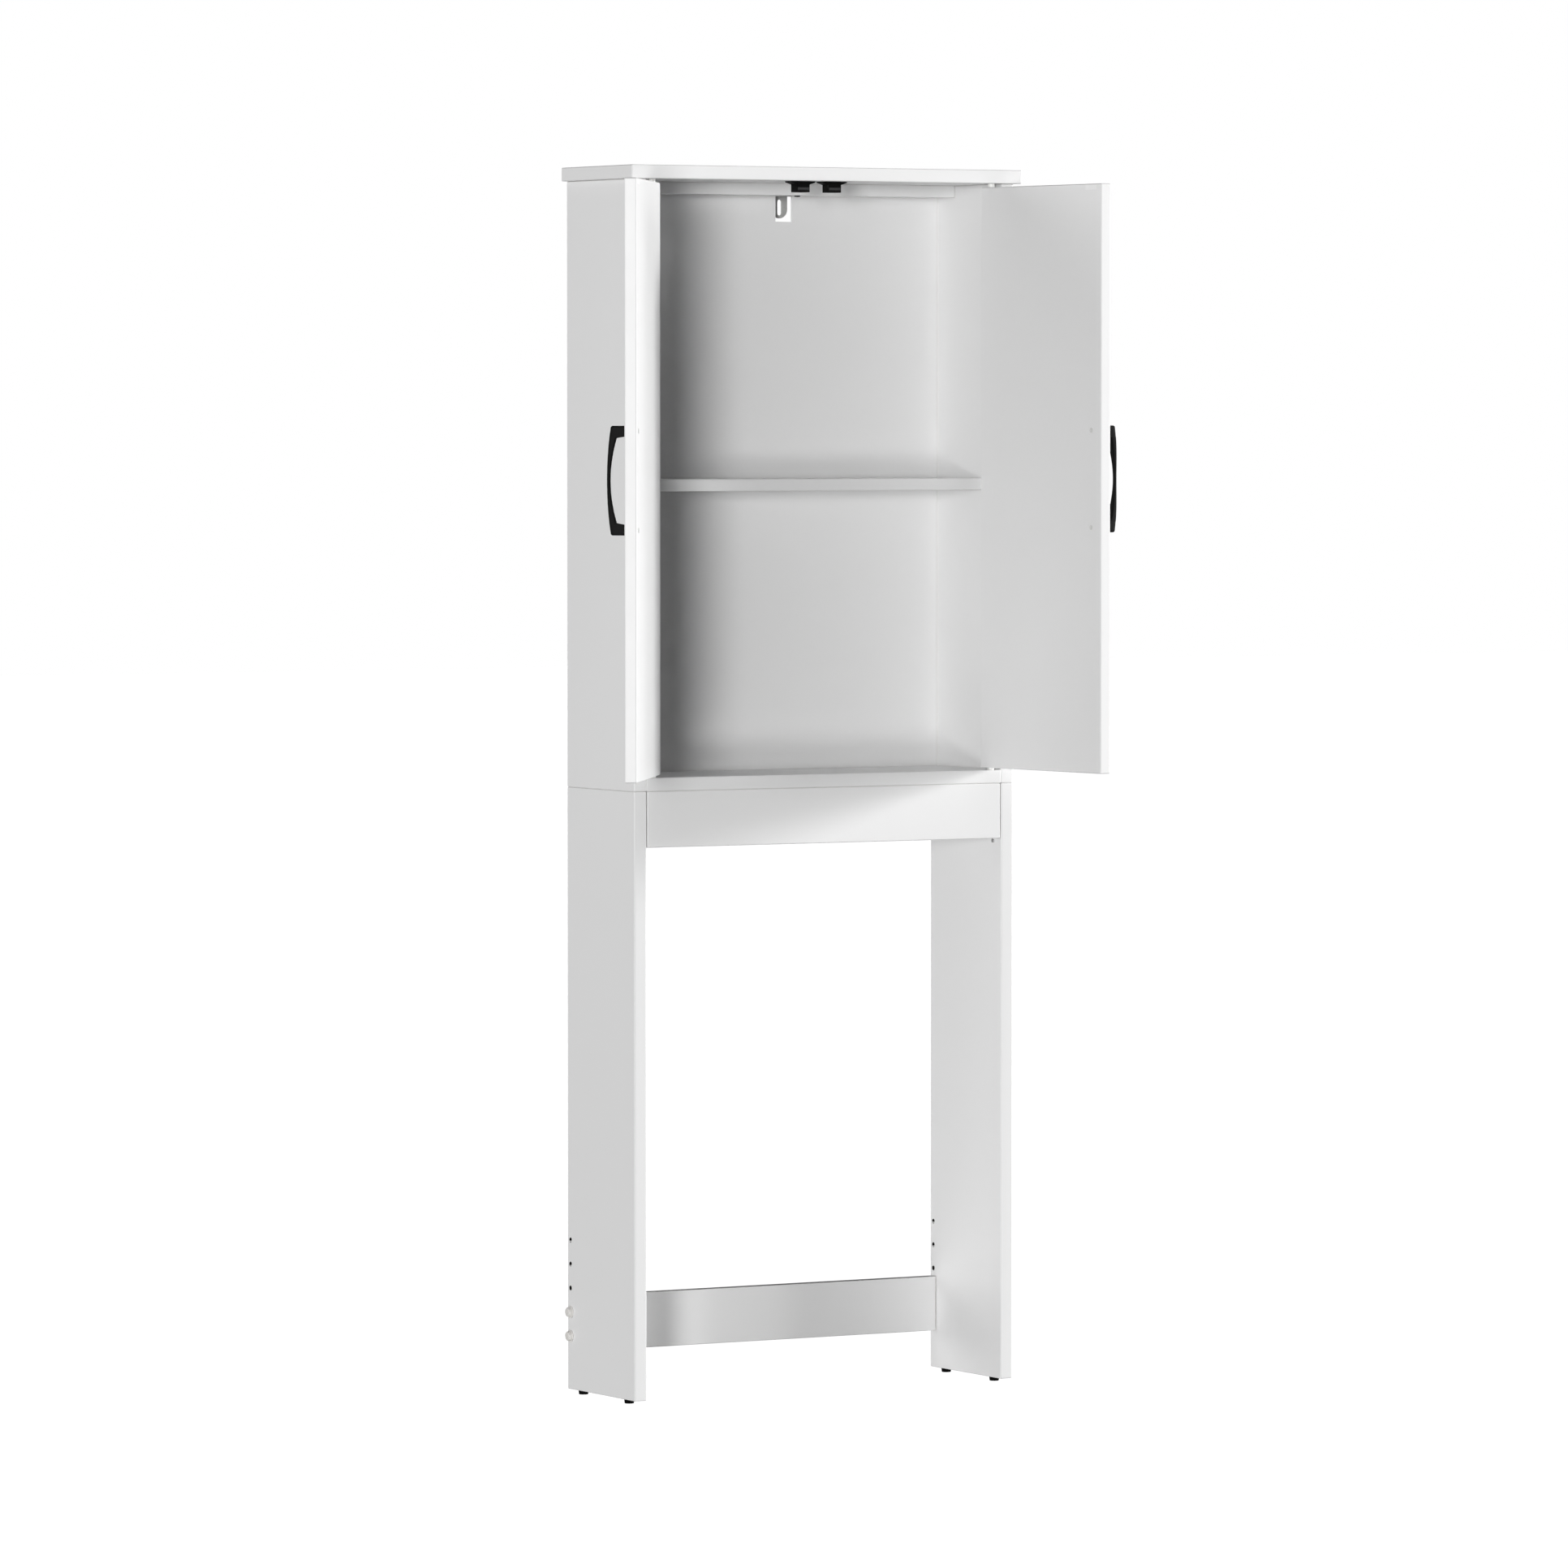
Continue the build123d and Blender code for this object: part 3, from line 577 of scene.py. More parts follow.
@dataclass(frozen=True)
class Finish:
    """A surface finish, and the material that it makes.

    The colour wanders in soft clouds, the roughness in fine flecks, and a fine relief feeds a bump.
    """

    name: str
    colour: tuple[float, float, float]
    roughness: float
    metallic: float = 0.0
    tint_spread: float = 0.02
    tint_scale: float = 5.0
    sheen_spread: float = 0.08
    sheen_scale: float = 30.0
    relief_scale: float = 500.0
    relief_stretch: tuple[float, float, float] = (1.0, 1.0, 1.0)
    relief_depth: float = 0.00002
    coat: float = 0.0
    coat_roughness: float = 0.2
    specular: float = 0.5

    def material(self) -> bpy.types.Material:
        """Returns: this finish's material, made on its first use."""
        known = bpy.data.materials.get(self.name)
        if known is not None:
            return known
        made = bpy.data.materials.new(self.name)
        made.use_nodes = True
        made.diffuse_color = (*self.colour, 1.0)
        tree = made.node_tree
        shader = tree.nodes["Principled BSDF"]
        shader.inputs["Metallic"].default_value = self.metallic
        shader.inputs["Specular IOR Level"].default_value = self.specular
        shader.inputs["Coat Weight"].default_value = self.coat
        shader.inputs["Coat Roughness"].default_value = self.coat_roughness
        place = tree.nodes.new("ShaderNodeTexCoord").outputs["Object"]
        self.paint(tree, shader, place)
        return made

    def paint(self, tree: bpy.types.NodeTree, shader: bpy.types.Node, place: bpy.types.NodeSocket) -> None:
        """Links the colour, roughness and relief of the finish.

        Args:
            tree: The material's node tree.
            shader: The Principled BSDF that they feed.
            place: Socket of the object coordinates.
        """
        tree.links.new(self.tint(tree, place), shader.inputs["Base Color"])
        sheen = self.group(tree, "rubbed_sheen", place, Roughness=self.roughness, Spread=self.sheen_spread)
        sheen.inputs["Scale"].default_value = self.sheen_scale
        tree.links.new(sheen.outputs["Roughness"], shader.inputs["Roughness"])
        relief = self.group(tree, "fine_relief", place, Stretch=self.relief_stretch, Scale=self.relief_scale)
        bump = tree.nodes.new("ShaderNodeBump")
        bump.inputs["Distance"].default_value = self.relief_depth
        tree.links.new(relief.outputs["Height"], bump.inputs["Height"])
        tree.links.new(bump.outputs["Normal"], shader.inputs["Normal"])

    def tint(self, tree: bpy.types.NodeTree, place: bpy.types.NodeSocket) -> bpy.types.NodeSocket:
        """Returns: the socket of the finish's colour, with its soft clouds."""
        clouds = self.group(tree, "cloud_tint", place, Spread=self.tint_spread, Scale=self.tint_scale)
        clouds.inputs["Color"].default_value = (*self.colour, 1.0)
        return clouds.outputs["Color"]

    @staticmethod
    def group(
        tree: bpy.types.NodeTree, name: str, place: bpy.types.NodeSocket, **values: object
    ) -> bpy.types.Node:
        """Places a shared shader group in a material.

        Args:
            tree: The material's node tree.
            name: Name of the group.
            place: Socket of the coordinates, linked where the group takes them.
            **values: Values of the group's other inputs.

        Returns:
            The group node.
        """
        node = tree.nodes.new("ShaderNodeGroup")
        node.node_tree = GROUPS.get(name)
        if "Vector" in node.inputs:
            tree.links.new(place, node.inputs["Vector"])
        for label, value in values.items():
            node.inputs[label].default_value = value
        return node


@dataclass(frozen=True)
class Lacquer(Finish):
    """A sprayed board: orange-peel relief, and painted shade that darkens the colour where boards meet."""

    # Painted shade: how strongly the colour darkens where boards meet, and how far that darkening reaches.
    painted_shade_strength: float = 0.35
    painted_shade_reach: float = 0.004

    def tint(self, tree: bpy.types.NodeTree, place: bpy.types.NodeSocket) -> bpy.types.NodeSocket:
        """Returns: the socket of the clouded colour, with painted shade darkening it in the joints between
        boards.
        """
        joints = self.group(tree, "painted_crease_shade", place, Strength=self.painted_shade_strength, Reach=self.painted_shade_reach)
        tree.links.new(super().tint(tree, place), joints.inputs["Color"])
        return joints.outputs["Color"]


@dataclass(frozen=True)
class BoredLacquer(Lacquer):
    """A lacquered board whose row of through holes is painted near-black: painted shade inside the bores,
    over the raw board's own darker tone.
    """

    # Painted shade: a near-black colour for the bore walls, darker than the raw board inside them.
    bore_shade_colour: tuple[float, float, float] = (0.006, 0.005, 0.004)
    row_y: float = 0.0
    lowest_z: float = 0.0
    pitch: float = 0.032
    holes: int = 5
    radius: float = 0.00335

    def tint(self, tree: bpy.types.NodeTree, place: bpy.types.NodeSocket) -> bpy.types.NodeSocket:
        """Returns: the socket of the lacquer's colour, with near-black painted shade inside the holes."""
        bores = self.group(tree, "bore_row", place, RowY=self.row_y, LowestZ=self.lowest_z)
        bores.inputs["Pitch"].default_value = self.pitch
        bores.inputs["Length"].default_value = self.pitch * (self.holes - 1)
        bores.inputs["Radius"].default_value = self.radius
        # Painted shade: the near-black colour replaces the lacquer inside the bores.
        blend = tree.nodes.new("ShaderNodeMix")
        blend.data_type = "RGBA"
        blend.inputs["B"].default_value = (*self.bore_shade_colour, 1.0)
        tree.links.new(bores.outputs["Inside"], blend.inputs["Factor"])
        tree.links.new(super().tint(tree, place), blend.inputs["A"])
        return blend.outputs["Result"]


@dataclass(frozen=True)
class Spangle(Finish):
    """Zinc plating: crystals of slightly different brightness over a brushed relief."""

    crystal_scale: float = 260.0
    contrast: float = 0.18

    def tint(self, tree: bpy.types.NodeTree, place: bpy.types.NodeSocket) -> bpy.types.NodeSocket:
        """Returns: the socket of the clouded colour, mixed towards grey by crystal."""
        crystals = tree.nodes.new("ShaderNodeTexVoronoi")
        crystals.inputs["Scale"].default_value = self.crystal_scale
        tree.links.new(place, crystals.inputs["Vector"])
        fade = tree.nodes.new("ShaderNodeMath")
        fade.operation = "MULTIPLY"
        fade.inputs[1].default_value = self.contrast
        tree.links.new(crystals.outputs["Color"], fade.inputs[0])
        blend = tree.nodes.new("ShaderNodeMix")
        blend.data_type = "RGBA"
        blend.inputs["B"].default_value = (*(0.45 * part for part in self.colour), 1.0)
        tree.links.new(fade.outputs[0], blend.inputs["Factor"])
        tree.links.new(super().tint(tree, place), blend.inputs["A"])
        return blend.outputs["Result"]


@dataclass(frozen=True)
class Timber(Finish):
    """Plain beech: fine darker streaks along the grain."""

    streak: tuple[float, float, float] = (0.42, 0.27, 0.15)

    def tint(self, tree: bpy.types.NodeTree, place: bpy.types.NodeSocket) -> bpy.types.NodeSocket:
        """Returns: the socket of the clouded colour with its streaks."""
        grain = self.group(tree, "fine_relief", place, Stretch=(0.1, 1.0, 1.0), Scale=900.0)
        limit = tree.nodes.new("ShaderNodeMapRange")
        limit.inputs["From Min"].default_value = 1.05
        limit.inputs["From Max"].default_value = 1.35
        tree.links.new(grain.outputs["Height"], limit.inputs["Value"])
        blend = tree.nodes.new("ShaderNodeMix")
        blend.data_type = "RGBA"
        blend.inputs["B"].default_value = (*self.streak, 1.0)
        tree.links.new(limit.outputs["Result"], blend.inputs["Factor"])
        tree.links.new(super().tint(tree, place), blend.inputs["A"])
        return blend.outputs["Result"]


WHITE_LACQUER = Lacquer("white_lacquer", (0.80, 0.80, 0.80), 0.42, tint_spread=0.012, coat=0.1)
BORED_LACQUER = BoredLacquer("bored_lacquer", (0.80, 0.80, 0.80), 0.42, tint_spread=0.012, coat=0.1)
WHITE_BACKING = Lacquer("white_backing", (0.79, 0.79, 0.79), 0.55, tint_spread=0.02, relief_scale=900.0)
SATIN_BLACK = Finish("satin_black", (0.004, 0.004, 0.004), 0.5, relief_scale=1400.0, specular=0.06)
BLACK_MOULDING = Finish("black_moulding", (0.004, 0.004, 0.004), 0.55, relief_scale=1800.0, specular=0.05)
BLACK_RUBBER = Finish("black_rubber", (0.003, 0.003, 0.003), 0.7, relief_scale=1200.0, specular=0.03)
BLACK_OXIDE = Finish(
    "black_oxide", (0.02, 0.02, 0.022), 0.38, metallic=0.8, tint_spread=0.2, tint_scale=200.0
)
ZINC_PLATE = Spangle("zinc_plate", (0.55, 0.55, 0.54), 0.48, metallic=0.2, relief_stretch=(1.0, 1.0, 0.08))
PALE_ZINC = Spangle("pale_zinc", (0.70, 0.70, 0.69), 0.4, metallic=0.15, crystal_scale=900.0, contrast=0.1)
CAST_ZINC = Spangle("cast_zinc", (0.46, 0.47, 0.48), 0.5, metallic=0.7, crystal_scale=900.0)
BRIGHT_STEEL = Spangle(
    "bright_steel", (0.58, 0.58, 0.59), 0.3, metallic=0.9, crystal_scale=700.0, contrast=0.1
)
WHITE_MOULDING = Finish("white_moulding", (0.84, 0.84, 0.82), 0.3, relief_scale=1500.0)
CLOUDY_CAP = Finish(
    "cloudy_cap", (0.74, 0.725, 0.70), 0.34, relief_scale=1500.0, tint_spread=0.06, tint_scale=180.0
)
WHITE_PLATE = Finish("white_plate", (0.84, 0.84, 0.84), 0.35, relief_scale=900.0)
FERRITE = Finish(
    "ferrite", (0.05, 0.05, 0.052), 0.6, metallic=0.2, relief_scale=2500.0, relief_depth=0.00005
)
BEECH = Timber("beech", (0.62, 0.44, 0.27), 0.6, relief_stretch=(0.1, 1.0, 1.0))


def dress(node: str, finish: Finish) -> None:
    """Gives a CAD node a finish on every one of its material slots.

    Args:
        node: Name of the node.
        finish: The finish.
    """
    piece = frame["nodes"][node]
    if not piece.material_slots:
        piece.data.materials.append(finish.material())
    for holder in piece.material_slots:
        holder.material = finish.material()
    LOG.info("dressed %s in %s", node, finish.name)


# ---------------------------------------------------------------- cabinet and legs


@dataclass
class Carcass:
    """The boards of the cabinet and of its legs."""

    boards: tuple[str, ...] = (
        "top_panel",
        "left_side_panel",
        "right_side_panel",
        "cabinet_floor",
        "middle_shelf",
        "top_rear_rail",
        "front_apron",
        "lower_rear_rail",
    )
    legs: tuple[str, ...] = ("left_leg_panel", "right_leg_panel")

    def dress(self) -> None:
        """Lacquers the boards and faces the back panel."""
        for board in self.boards:
            dress(board, WHITE_LACQUER)
        low, high = node_box("bolt_caps")
        inset = (high[1] - low[1]) / 2
        holes = {"row_y": float(low[1] + inset), "lowest_z": float(low[2] + inset)}
        bored = replace(BORED_LACQUER, **holes, pitch=float(high[2] - low[2] - 2.0 * inset))
        for leg in self.legs:
            dress(leg, bored)
        dress("back_panel", WHITE_BACKING)


@dataclass
class Feet:
    """Four moulded feet with a rounded rim and a shallow dish underneath."""

    rim_radius: float = 0.00675
    sole_radius: float = 0.0062
    shoulder: float = 0.0008
    shoulder_in: float = 0.0003
    dish_radius: float = 0.0034
    dish_slope: float = 0.0004
    dish_depth: float = 0.0006
    pole_radius: float = 0.0006
    spokes: int = 64

    def build(self) -> None:
        """Turns the feet, one at each end of each leg."""
        low, high = node_box("feet")
        body_top = node_box("left_leg_panel")[0][2]
        rings = rounded_profile(
            [
                (self.pole_radius, self.dish_depth, 0.0),
                (self.dish_radius - self.dish_slope, self.dish_depth, 0.0002),
                (self.dish_radius, 0.0, 0.0002),
                (self.sole_radius, 0.0, 0.0007),
                (self.rim_radius, body_top - self.shoulder, 0.0005),
                (self.rim_radius - self.shoulder_in, body_top, 0.0003),
                (self.pole_radius, body_top, 0.0),
            ]
        )
        patches = []
        for x in (low[0] + self.rim_radius, high[0] - self.rim_radius):
            for y in (low[1] + self.rim_radius, high[1] - self.rim_radius):
                patches.append(turned(rings, np.array([x, y, 0.0]), UP, self.spokes))
        piece = add_piece("moulded_feet", patches, Body.CABINET, BLACK_RUBBER)
        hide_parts("feet")


@dataclass
class BoltCaps:
    """Push-on caps over the bolt heads: a thin flange and a domed knob with a moulded dimple."""

    flange_radius: float = 0.0080
    flange_height: float = 0.0013
    knob_radius: float = 0.0063
    knob_draft: float = 0.0002
    dimple_radius: float = 0.0016
    dimple_slope: float = 0.0004
    dimple_depth: float = 0.0002
    spokes: int = 72

    def build(self) -> None:
        """Turns two caps on the outer face of each leg."""
        low, high = node_box("bolt_caps")
        height = (high[0] - low[0]) / 2 - node_box("right_leg_panel")[1][0]
        rings = rounded_profile(
            [
                (POLE_RADIUS, height - self.dimple_depth, 0.0),
                (self.dimple_radius - self.dimple_slope, height - self.dimple_depth, 0.0003),
                (self.dimple_radius, height, 0.0003),
                (self.knob_radius - self.knob_draft, height, 0.0016),
                (self.knob_radius, self.flange_height, 0.0003),
                (self.flange_radius, self.flange_height, 0.0006),
                (self.flange_radius, 0.0, 0.0002),
                (POLE_RADIUS, 0.0, 0.0),
            ],
            steps=8,
        )
        patches = []
        for sign in (-1.0, 1.0):
            face = node_box("right_leg_panel")[1][0] * sign
            for z in (low[2] + self.flange_radius, high[2] - self.flange_radius):
                seat = np.array([face, (low[1] + high[1]) / 2, z])
                patches.append(turned(rings, seat, np.array([sign, 0.0, 0.0]), self.spokes))
        piece = add_piece("domed_bolt_caps", patches, Body.CABINET, CLOUDY_CAP)
        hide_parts("bolt_caps")


@dataclass
class Fittings:
    """The hardware of the cabinet: bushes, catches, bracket, bolts, dowels and cams."""

    finishes: dict[str, Finish] = field(
        default_factory=lambda: {
            "pivot_bushes": WHITE_MOULDING,
            "catch_bodies": BLACK_MOULDING,
            "catch_pole_plates": BLACK_OXIDE,
            "catch_magnets": FERRITE,
            "catch_screws": BLACK_OXIDE,
            "wall_bracket": ZINC_PLATE,
            "rail_bolts": ZINC_PLATE,
            "barrel_nuts": ZINC_PLATE,
            "leg_pins": BRIGHT_STEEL,
            "dowels": BEECH,
            "cam_bolts": ZINC_PLATE,
            "cam_locks": CAST_ZINC,
        }
    )
    screw_spokes: int = 96
    screw_straight: float = 0.024
    screw_tip: float = 0.004
    recess_reach: float = 0.55
    recess_width: float = 0.14
    recess_depth: float = 0.0009

    def dress(self) -> None:
        """Gives each fitting its finish."""
        for node, finish in self.finishes.items():
            dress(node, finish)

    def build(self) -> None:
        """Makes the bracket's screw, with its cross recess facing down."""
        low, high = node_box("bracket_screw")
        seat_z = node_box("top_rear_rail")[0][2]
        middle = (low + high) / 2
        radius = (high[0] - low[0]) / 2
        seat = np.array([middle[0], middle[1], seat_z])
        recess = CrossRecess(radius * self.recess_reach, radius * self.recess_width, self.recess_depth)
        head = turned(head_profile(radius, seat_z - low[2]), seat, -UP, self.screw_spokes, recess)
        shank = turned(shank_profile(self.screw_straight, self.screw_tip, 0.001), seat, UP, SHANK_SPOKES)
        piece = add_piece("bracket_pan_screw", [head, shank], Body.CABINET, BLACK_OXIDE)
        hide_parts("bracket_screw")


# ---------------------------------------------------------------- doors


@dataclass(frozen=True)
class DoorAxes:
    """Axes of one open door: its pivot, along it to the free edge, and out of its front face."""

    pivot: np.ndarray
    along: np.ndarray
    outward: np.ndarray

    @classmethod
    def of(cls, side: Side) -> "DoorAxes":
        """Reads the axes from the door's broadest face, its joint and its handle.

        Args:
            side: Which door.

        Returns:
            The axes of that door at rest.
        """
        mesh = frame["nodes"][f"{side.word}_door"].data
        normals = np.empty(len(mesh.polygons) * 3, dtype=np.float32)
        areas = np.empty(len(mesh.polygons), dtype=np.float32)
        mesh.polygons.foreach_get("normal", normals)
        mesh.polygons.foreach_get("area", areas)
        broad = normals.reshape(-1, 3)[areas.argmax()].astype(float)
        broad[2] = 0.0
        broad /= np.linalg.norm(broad)
        door_low, door_high = node_box(f"{side.word}_door")
        handle_low, handle_high = node_box(f"{side.word}_handle")
        door_middle = (door_low + door_high) / 2
        hinge = next(joint for joint in frame["joints"] if joint["child"] == side.body.value)
        pivot = np.array([hinge["pos_m"][0], hinge["pos_m"][1], 0.0])
        along = np.cross(UP, broad)
        along *= math.copysign(1.0, float((door_middle - pivot) @ along))
        to_handle = (handle_low + handle_high) / 2 - door_middle
        to_handle = to_handle - (to_handle @ along) * along
        outward = broad * math.copysign(1.0, float(to_handle @ broad))
        return cls(pivot, along, outward)

    def local(self, points: np.ndarray) -> np.ndarray:
        """Returns: points as distances along the door, out of it, and up."""
        offset = points - self.pivot
        return np.stack([offset @ self.along, offset @ self.outward, offset[:, 2]], axis=-1)

    def place(self, along: np.ndarray, out: np.ndarray, up: np.ndarray) -> np.ndarray:
        """Returns: the frame's points at distances along the door, out of it, and up."""
        return self.pivot + along[..., None] * self.along + out[..., None] * self.outward + up[..., None] * UP


@dataclass
class BowHandle:
    """A cast bow handle: a bar that thins to its middle, between two feet.

    Seen from the side, its back is an arc of the outer radius and its grip an arc of the inner
    radius. Seen from the front, it is narrowest in the middle and widest at its feet.
    """

    side: Side
    outer_radius: float = 0.450
    inner_radius: float = 0.195
    waist: float = 0.0047
    foot_length: float = 0.0146
    corner: float = 0.0022
    root: float = 0.0016
    sunk: float = 0.0006
    bar_squareness: float = 2.3
    foot_squareness: float = 5.0
    spokes: int = 48
    bar_rings: int = 40
    neck_rings: int = 22
    foot_rings: int = 8
    end_rings: int = 12

    def heights(self, half: float) -> np.ndarray:
        """Ring heights from one end to the other, closer together where the shape turns.

        Args:
            half: Half of the handle's length.

        Returns:
            Heights from -half to half.
        """
        inside = half - self.foot_length
        bar = np.linspace(0.0, inside - self.root, self.bar_rings)
        neck = inside + self.root * np.sin(np.linspace(-math.pi / 2, math.pi / 2, self.neck_rings))
        foot = np.linspace(inside + self.root, half - self.corner, self.foot_rings)
        end = half - self.corner * (1.0 - np.sin(np.linspace(0.0, math.pi / 2, self.end_rings)))
        upper = np.concatenate([bar[1:], neck[1:], foot[1:], end[1:]])
        return np.concatenate([-upper[::-1], [0.0], upper])

    def build(self) -> None:
        """Lofts the handle.

        At height z the section is a superellipse |x / w|^n + |y / h|^n = 1. Its half-width w is
        the waist plus a swell of sin^2(pi z / length), and h is half of the distance from the
        inner arc, or from the door at the feet, to the outer arc. Quarter circles of the corner
        radius draw both in at the two ends.
        """
        axes = DoorAxes.of(self.side)
        box = axes.local(node_points(f"{self.side.word}_handle"))
        low, high = box.min(axis=0), box.max(axis=0)
        half = (high[2] - low[2]) / 2
        reach = high[1] - low[1]
        z = self.heights(half)
        span = np.abs(z)
        past_end = np.clip(span - (half - self.corner), 0.0, self.corner)
        draw_in = self.corner - np.sqrt(self.corner**2 - past_end**2)
        back = reach - (self.outer_radius - np.sqrt(self.outer_radius**2 - z**2)) - draw_in
        grip = reach - self.waist - (self.inner_radius - np.sqrt(self.inner_radius**2 - z**2))
        foot = smooth_step((span - (half - self.foot_length - self.root)) / (2.0 * self.root))
        front = (1.0 - foot) * grip - foot * self.sunk
        swell = np.sin(math.pi * z / (2.0 * half)) ** 2
        half_width = self.waist / 2 + ((high[0] - low[0]) / 2 - self.waist / 2) * swell - draw_in
        power = 2.0 / (self.bar_squareness + self.foot_squareness * swell)
        angle = np.linspace(0.0, 2.0 * math.pi, self.spokes, endpoint=False)
        across = np.sign(np.cos(angle)) * np.abs(np.cos(angle)) ** power[:, None]
        through = np.sign(np.sin(angle)) * np.abs(np.sin(angle)) ** power[:, None]
        along = (low[0] + high[0]) / 2 + half_width[:, None] * across
        out = low[1] + ((back + front) / 2)[:, None] + ((back - front) / 2)[:, None] * through
        up = np.repeat(((low[2] + high[2]) / 2 + z)[:, None], self.spokes, axis=1)
        patch = closed_grid(axes.place(along, out, up))
        piece = add_piece(f"{self.side.word}_bow_handle", [patch], self.side.body, SATIN_BLACK)
        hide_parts(f"{self.side.word}_handle")


@dataclass
class HandleScrews:
    """The two screws of a handle, with domed heads and cross recesses on the door's inner face."""

    side: Side
    spokes: int = 96
    recess_reach: float = 0.58
    recess_width: float = 0.15
    recess_depth: float = 0.0006

    def build(self) -> None:
        """Turns a head and a shank at each screw."""
        axes = DoorAxes.of(self.side)
        node = f"{self.side.word}_handle_screws"
        screws = axes.local(node_points(node))
        low, high = screws.min(axis=0), screws.max(axis=0)
        radius = (high[0] - low[0]) / 2
        inner_face = axes.local(node_points(f"{self.side.word}_door"))[:, 1].min()
        recess = CrossRecess(radius * self.recess_reach, radius * self.recess_width, self.recess_depth)
        patches = []
        for z in (low[2] + radius, high[2] - radius):
            middle = np.array([(low[0] + high[0]) / 2])
            seat = axes.place(middle, np.array([inner_face]), np.array([z]))[0]
            rings = head_profile(radius, inner_face - low[1])
            patches.append(turned(rings, seat, -axes.outward, self.spokes, recess))
            shank = shank_profile(high[1] - inner_face, 0.0, 0.0002)
            patches.append(turned(shank, seat, axes.outward, SHANK_SPOKES))
        name = f"{self.side.word}_handle_cross_screws"
        piece = add_piece(name, patches, self.side.body, PALE_ZINC)
        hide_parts(node)


@dataclass
class Door:
    """One door with its pins, strike plate, handle and screws."""

    side: Side

    def build(self) -> None:
        """Builds the door's handle and its screws."""
        BowHandle(self.side).build()
        HandleScrews(self.side).build()

    def dress(self) -> None:
        """Lacquers the door and finishes its pins and strike plate."""
        dress(f"{self.side.word}_door", WHITE_LACQUER)
        dress(f"{self.side.word}_door_pins", BRIGHT_STEEL)
        dress(f"{self.side.word}_strike_plate", WHITE_PLATE)


# ---------------------------------------------------------------- studio


@dataclass(frozen=True)
class Lamp:
    """A distant soft lamp: where it stands, how strong it is, and how wide it looks."""

    name: str
    azimuth: float
    elevation: float
    strength: float
    width: float

    def build(self) -> None:
        """Hangs the lamp, shining towards the middle of the scene."""
        light = bpy.data.lights.new(self.name, "SUN")
        light.energy = self.strength
        light.angle = math.radians(self.width)
        holder = bpy.data.objects.new(self.name, light)
        tilt = math.radians(90.0 - self.elevation)
        holder.rotation_euler = (tilt, 0.0, math.radians(self.azimuth))
        bpy.context.scene.collection.objects.link(holder)


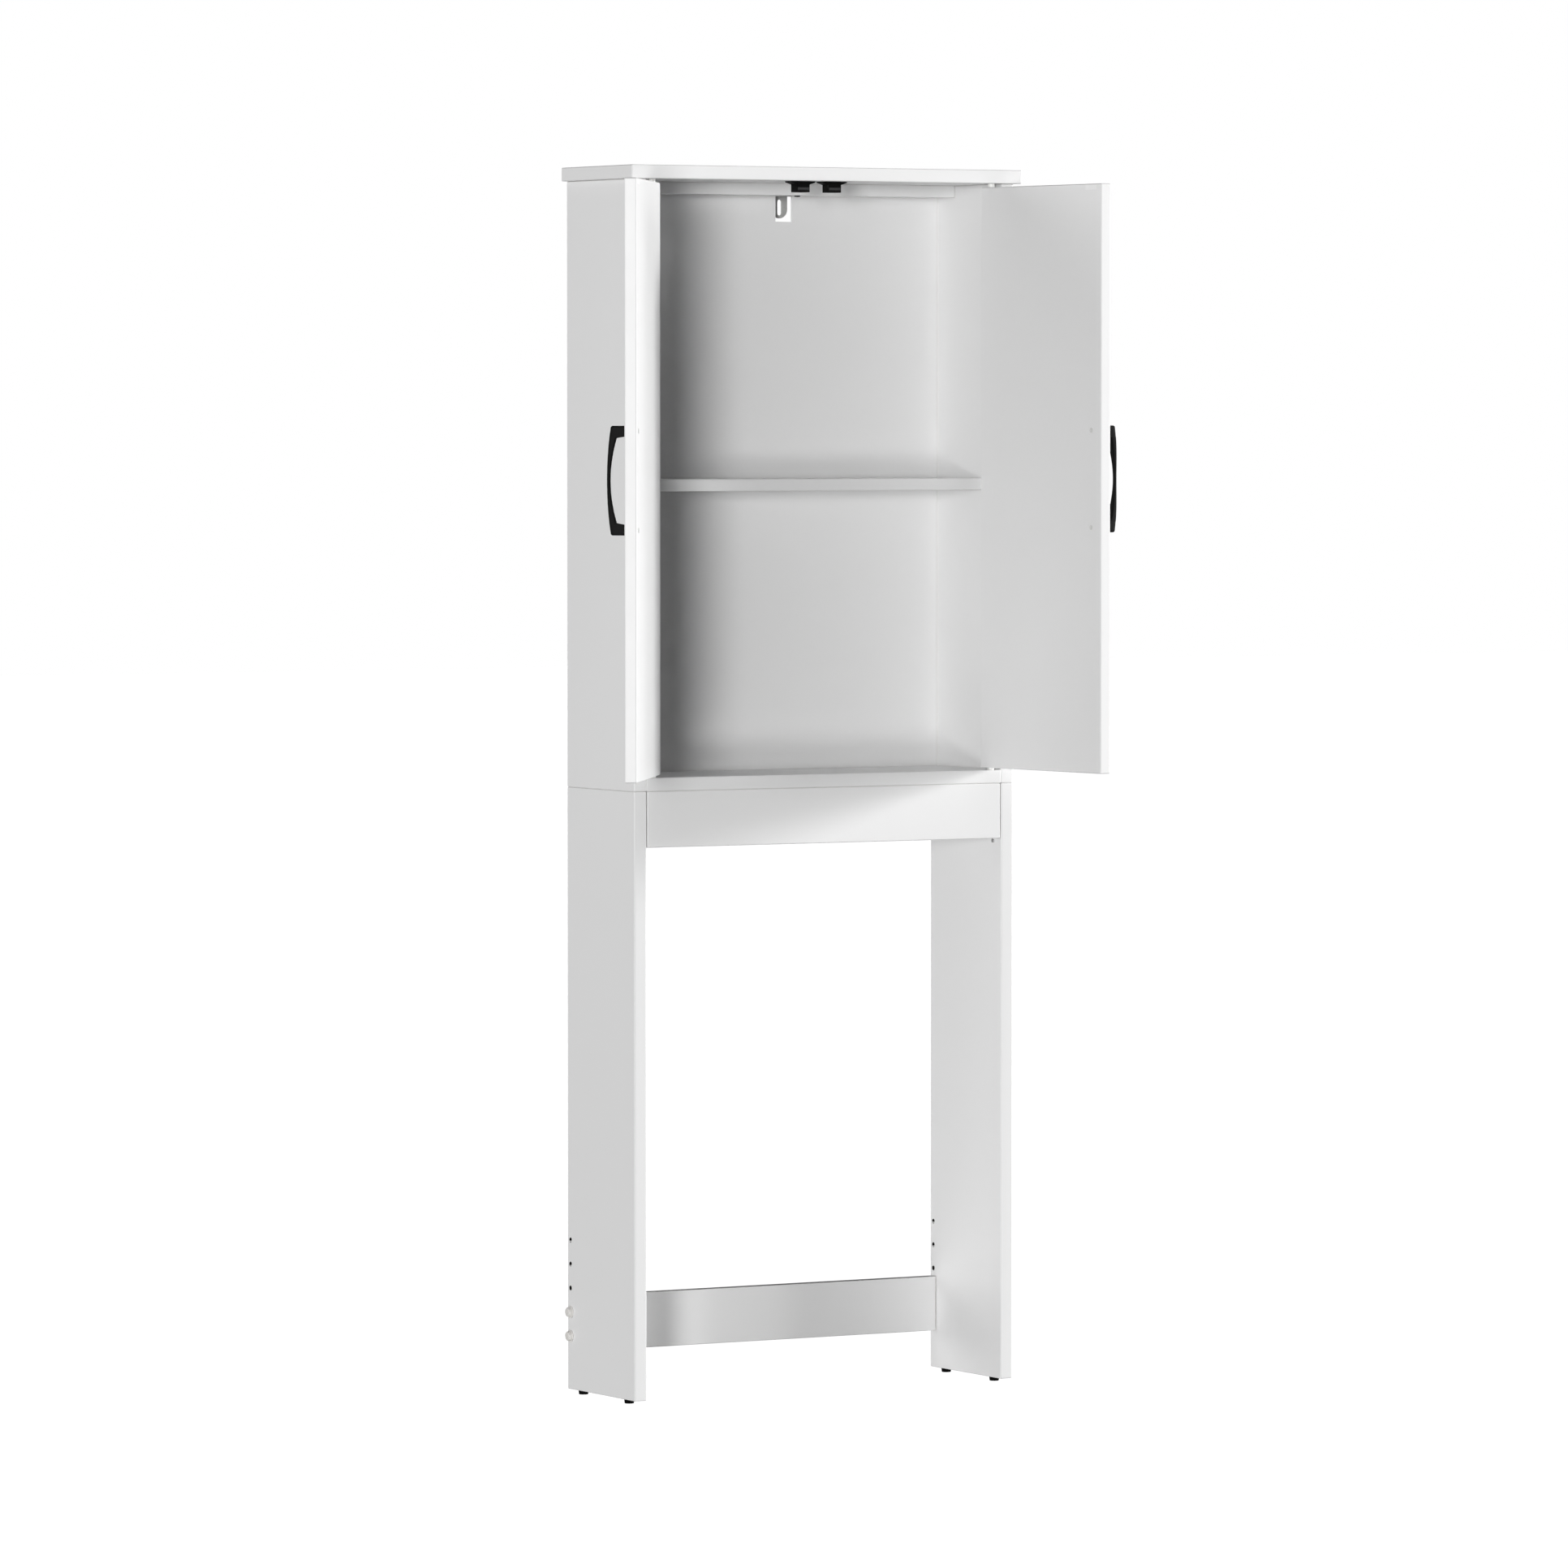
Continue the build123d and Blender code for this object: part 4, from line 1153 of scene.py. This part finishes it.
@dataclass
class Studio:
    """The camera, the lamps, the pale floor and the white surroundings."""

    lamps: tuple[Lamp, ...] = (
        Lamp("front_left_lamp", -40.0, 2.0, 1.48, 10.0),
        Lamp("low_front_left_lamp", -40.0, -10.0, 0.72, 10.0),
        Lamp("low_left_lamp", -85.0, -30.0, 0.41, 30.0),
        Lamp("rear_left_lamp", -120.0, 5.0, 0.97, 30.0),
        Lamp("front_right_lamp", 55.0, 2.0, 0.61, 10.0),
        Lamp("high_right_lamp", 68.0, 12.0, 2.63, 10.0),
        Lamp("right_lamp", 80.0, 2.0, 1.05, 10.0),
    )
    ambient: float = 0.0
    camera_place: tuple[float, float, float] = (-5.9773, -10.4094, 1.3055)
    camera_yaw: float = 29.82
    camera_pitch: float = -2.368
    lens: float = 206.44
    sensor: float = 36.0
    floor_size: float = 60.0
    floor_grey: float = 0.3
    floor_roughness: float = 0.9
    floor_glow: float = 1.0

    def build(self) -> None:
        """Sets up the whole studio."""
        self.build_camera()
        self.build_floor()
        self.build_world()
        for lamp in self.lamps:
            lamp.build()
        view = bpy.context.scene.view_settings
        view.view_transform = "Standard"
        view.look = "None"
        LOG.info("set up the studio with %d lamps", len(self.lamps))

    def build_camera(self) -> None:
        """Stands a long-lens camera off to the left, tilted slightly down."""
        data = bpy.data.cameras.new("camera")
        data.lens = self.lens
        data.sensor_width = self.sensor
        data.clip_end = 200.0
        camera = bpy.data.objects.new("camera", data)
        camera.location = self.camera_place
        camera.rotation_euler = (math.radians(90.0 + self.camera_pitch), 0.0, -math.radians(self.camera_yaw))
        bpy.context.scene.collection.objects.link(camera)
        bpy.context.scene.camera = camera

    def build_floor(self) -> None:
        """Lays a pale floor under the feet, which glows white and shows on nothing else."""
        half = self.floor_size / 2
        mesh = bpy.data.meshes.new("floor")
        corners = [(-half, -half, 0.0), (half, -half, 0.0), (half, half, 0.0), (-half, half, 0.0)]
        mesh.from_pydata(corners, [], [(0, 1, 2, 3)])
        paint = bpy.data.materials.new("pale_floor")
        paint.use_nodes = True
        shader = paint.node_tree.nodes["Principled BSDF"]
        shader.inputs["Base Color"].default_value = (*[self.floor_grey] * 3, 1.0)
        shader.inputs["Roughness"].default_value = self.floor_roughness
        shader.inputs["Specular IOR Level"].default_value = 0.0
        shader.inputs["Emission Color"].default_value = (1.0, 1.0, 1.0, 1.0)
        shader.inputs["Emission Strength"].default_value = self.floor_glow
        mesh.materials.append(paint)
        floor = bpy.data.objects.new("floor", mesh)
        bpy.context.scene.collection.objects.link(floor)
        floor.visible_diffuse = False
        floor.visible_glossy = False
        floor.visible_shadow = False

    def build_world(self) -> None:
        """Surrounds the scene with white for the camera, and lights the pieces with the ambient."""
        world = bpy.data.worlds.new("surroundings")
        bpy.context.scene.world = world
        world.use_nodes = True
        tree = world.node_tree
        glow = tree.nodes["Background"]
        glow.inputs["Color"].default_value = (1.0, 1.0, 1.0, 1.0)
        glow.inputs["Strength"].default_value = self.ambient
        seen = tree.nodes.new("ShaderNodeBackground")
        seen.inputs["Color"].default_value = (1.0, 1.0, 1.0, 1.0)
        path = tree.nodes.new("ShaderNodeLightPath")
        choose = tree.nodes.new("ShaderNodeMixShader")
        tree.links.new(path.outputs["Is Camera Ray"], choose.inputs["Fac"])
        tree.links.new(glow.outputs["Background"], choose.inputs[1])
        tree.links.new(seen.outputs["Background"], choose.inputs[2])
        tree.links.new(choose.outputs["Shader"], tree.nodes["World Output"].inputs["Surface"])


def main() -> None:
    """Builds and dresses the rack piece by piece, then the studio."""
    logging.basicConfig(level=logging.INFO, format="%(message)s")
    Carcass().dress()
    Feet().build()
    BoltCaps().build()
    fittings = Fittings()
    fittings.build()
    fittings.dress()
    for side in Side:
        door = Door(side)
        door.build()
        door.dress()
    Studio().build()


if __name__ == "__main__":
    main()
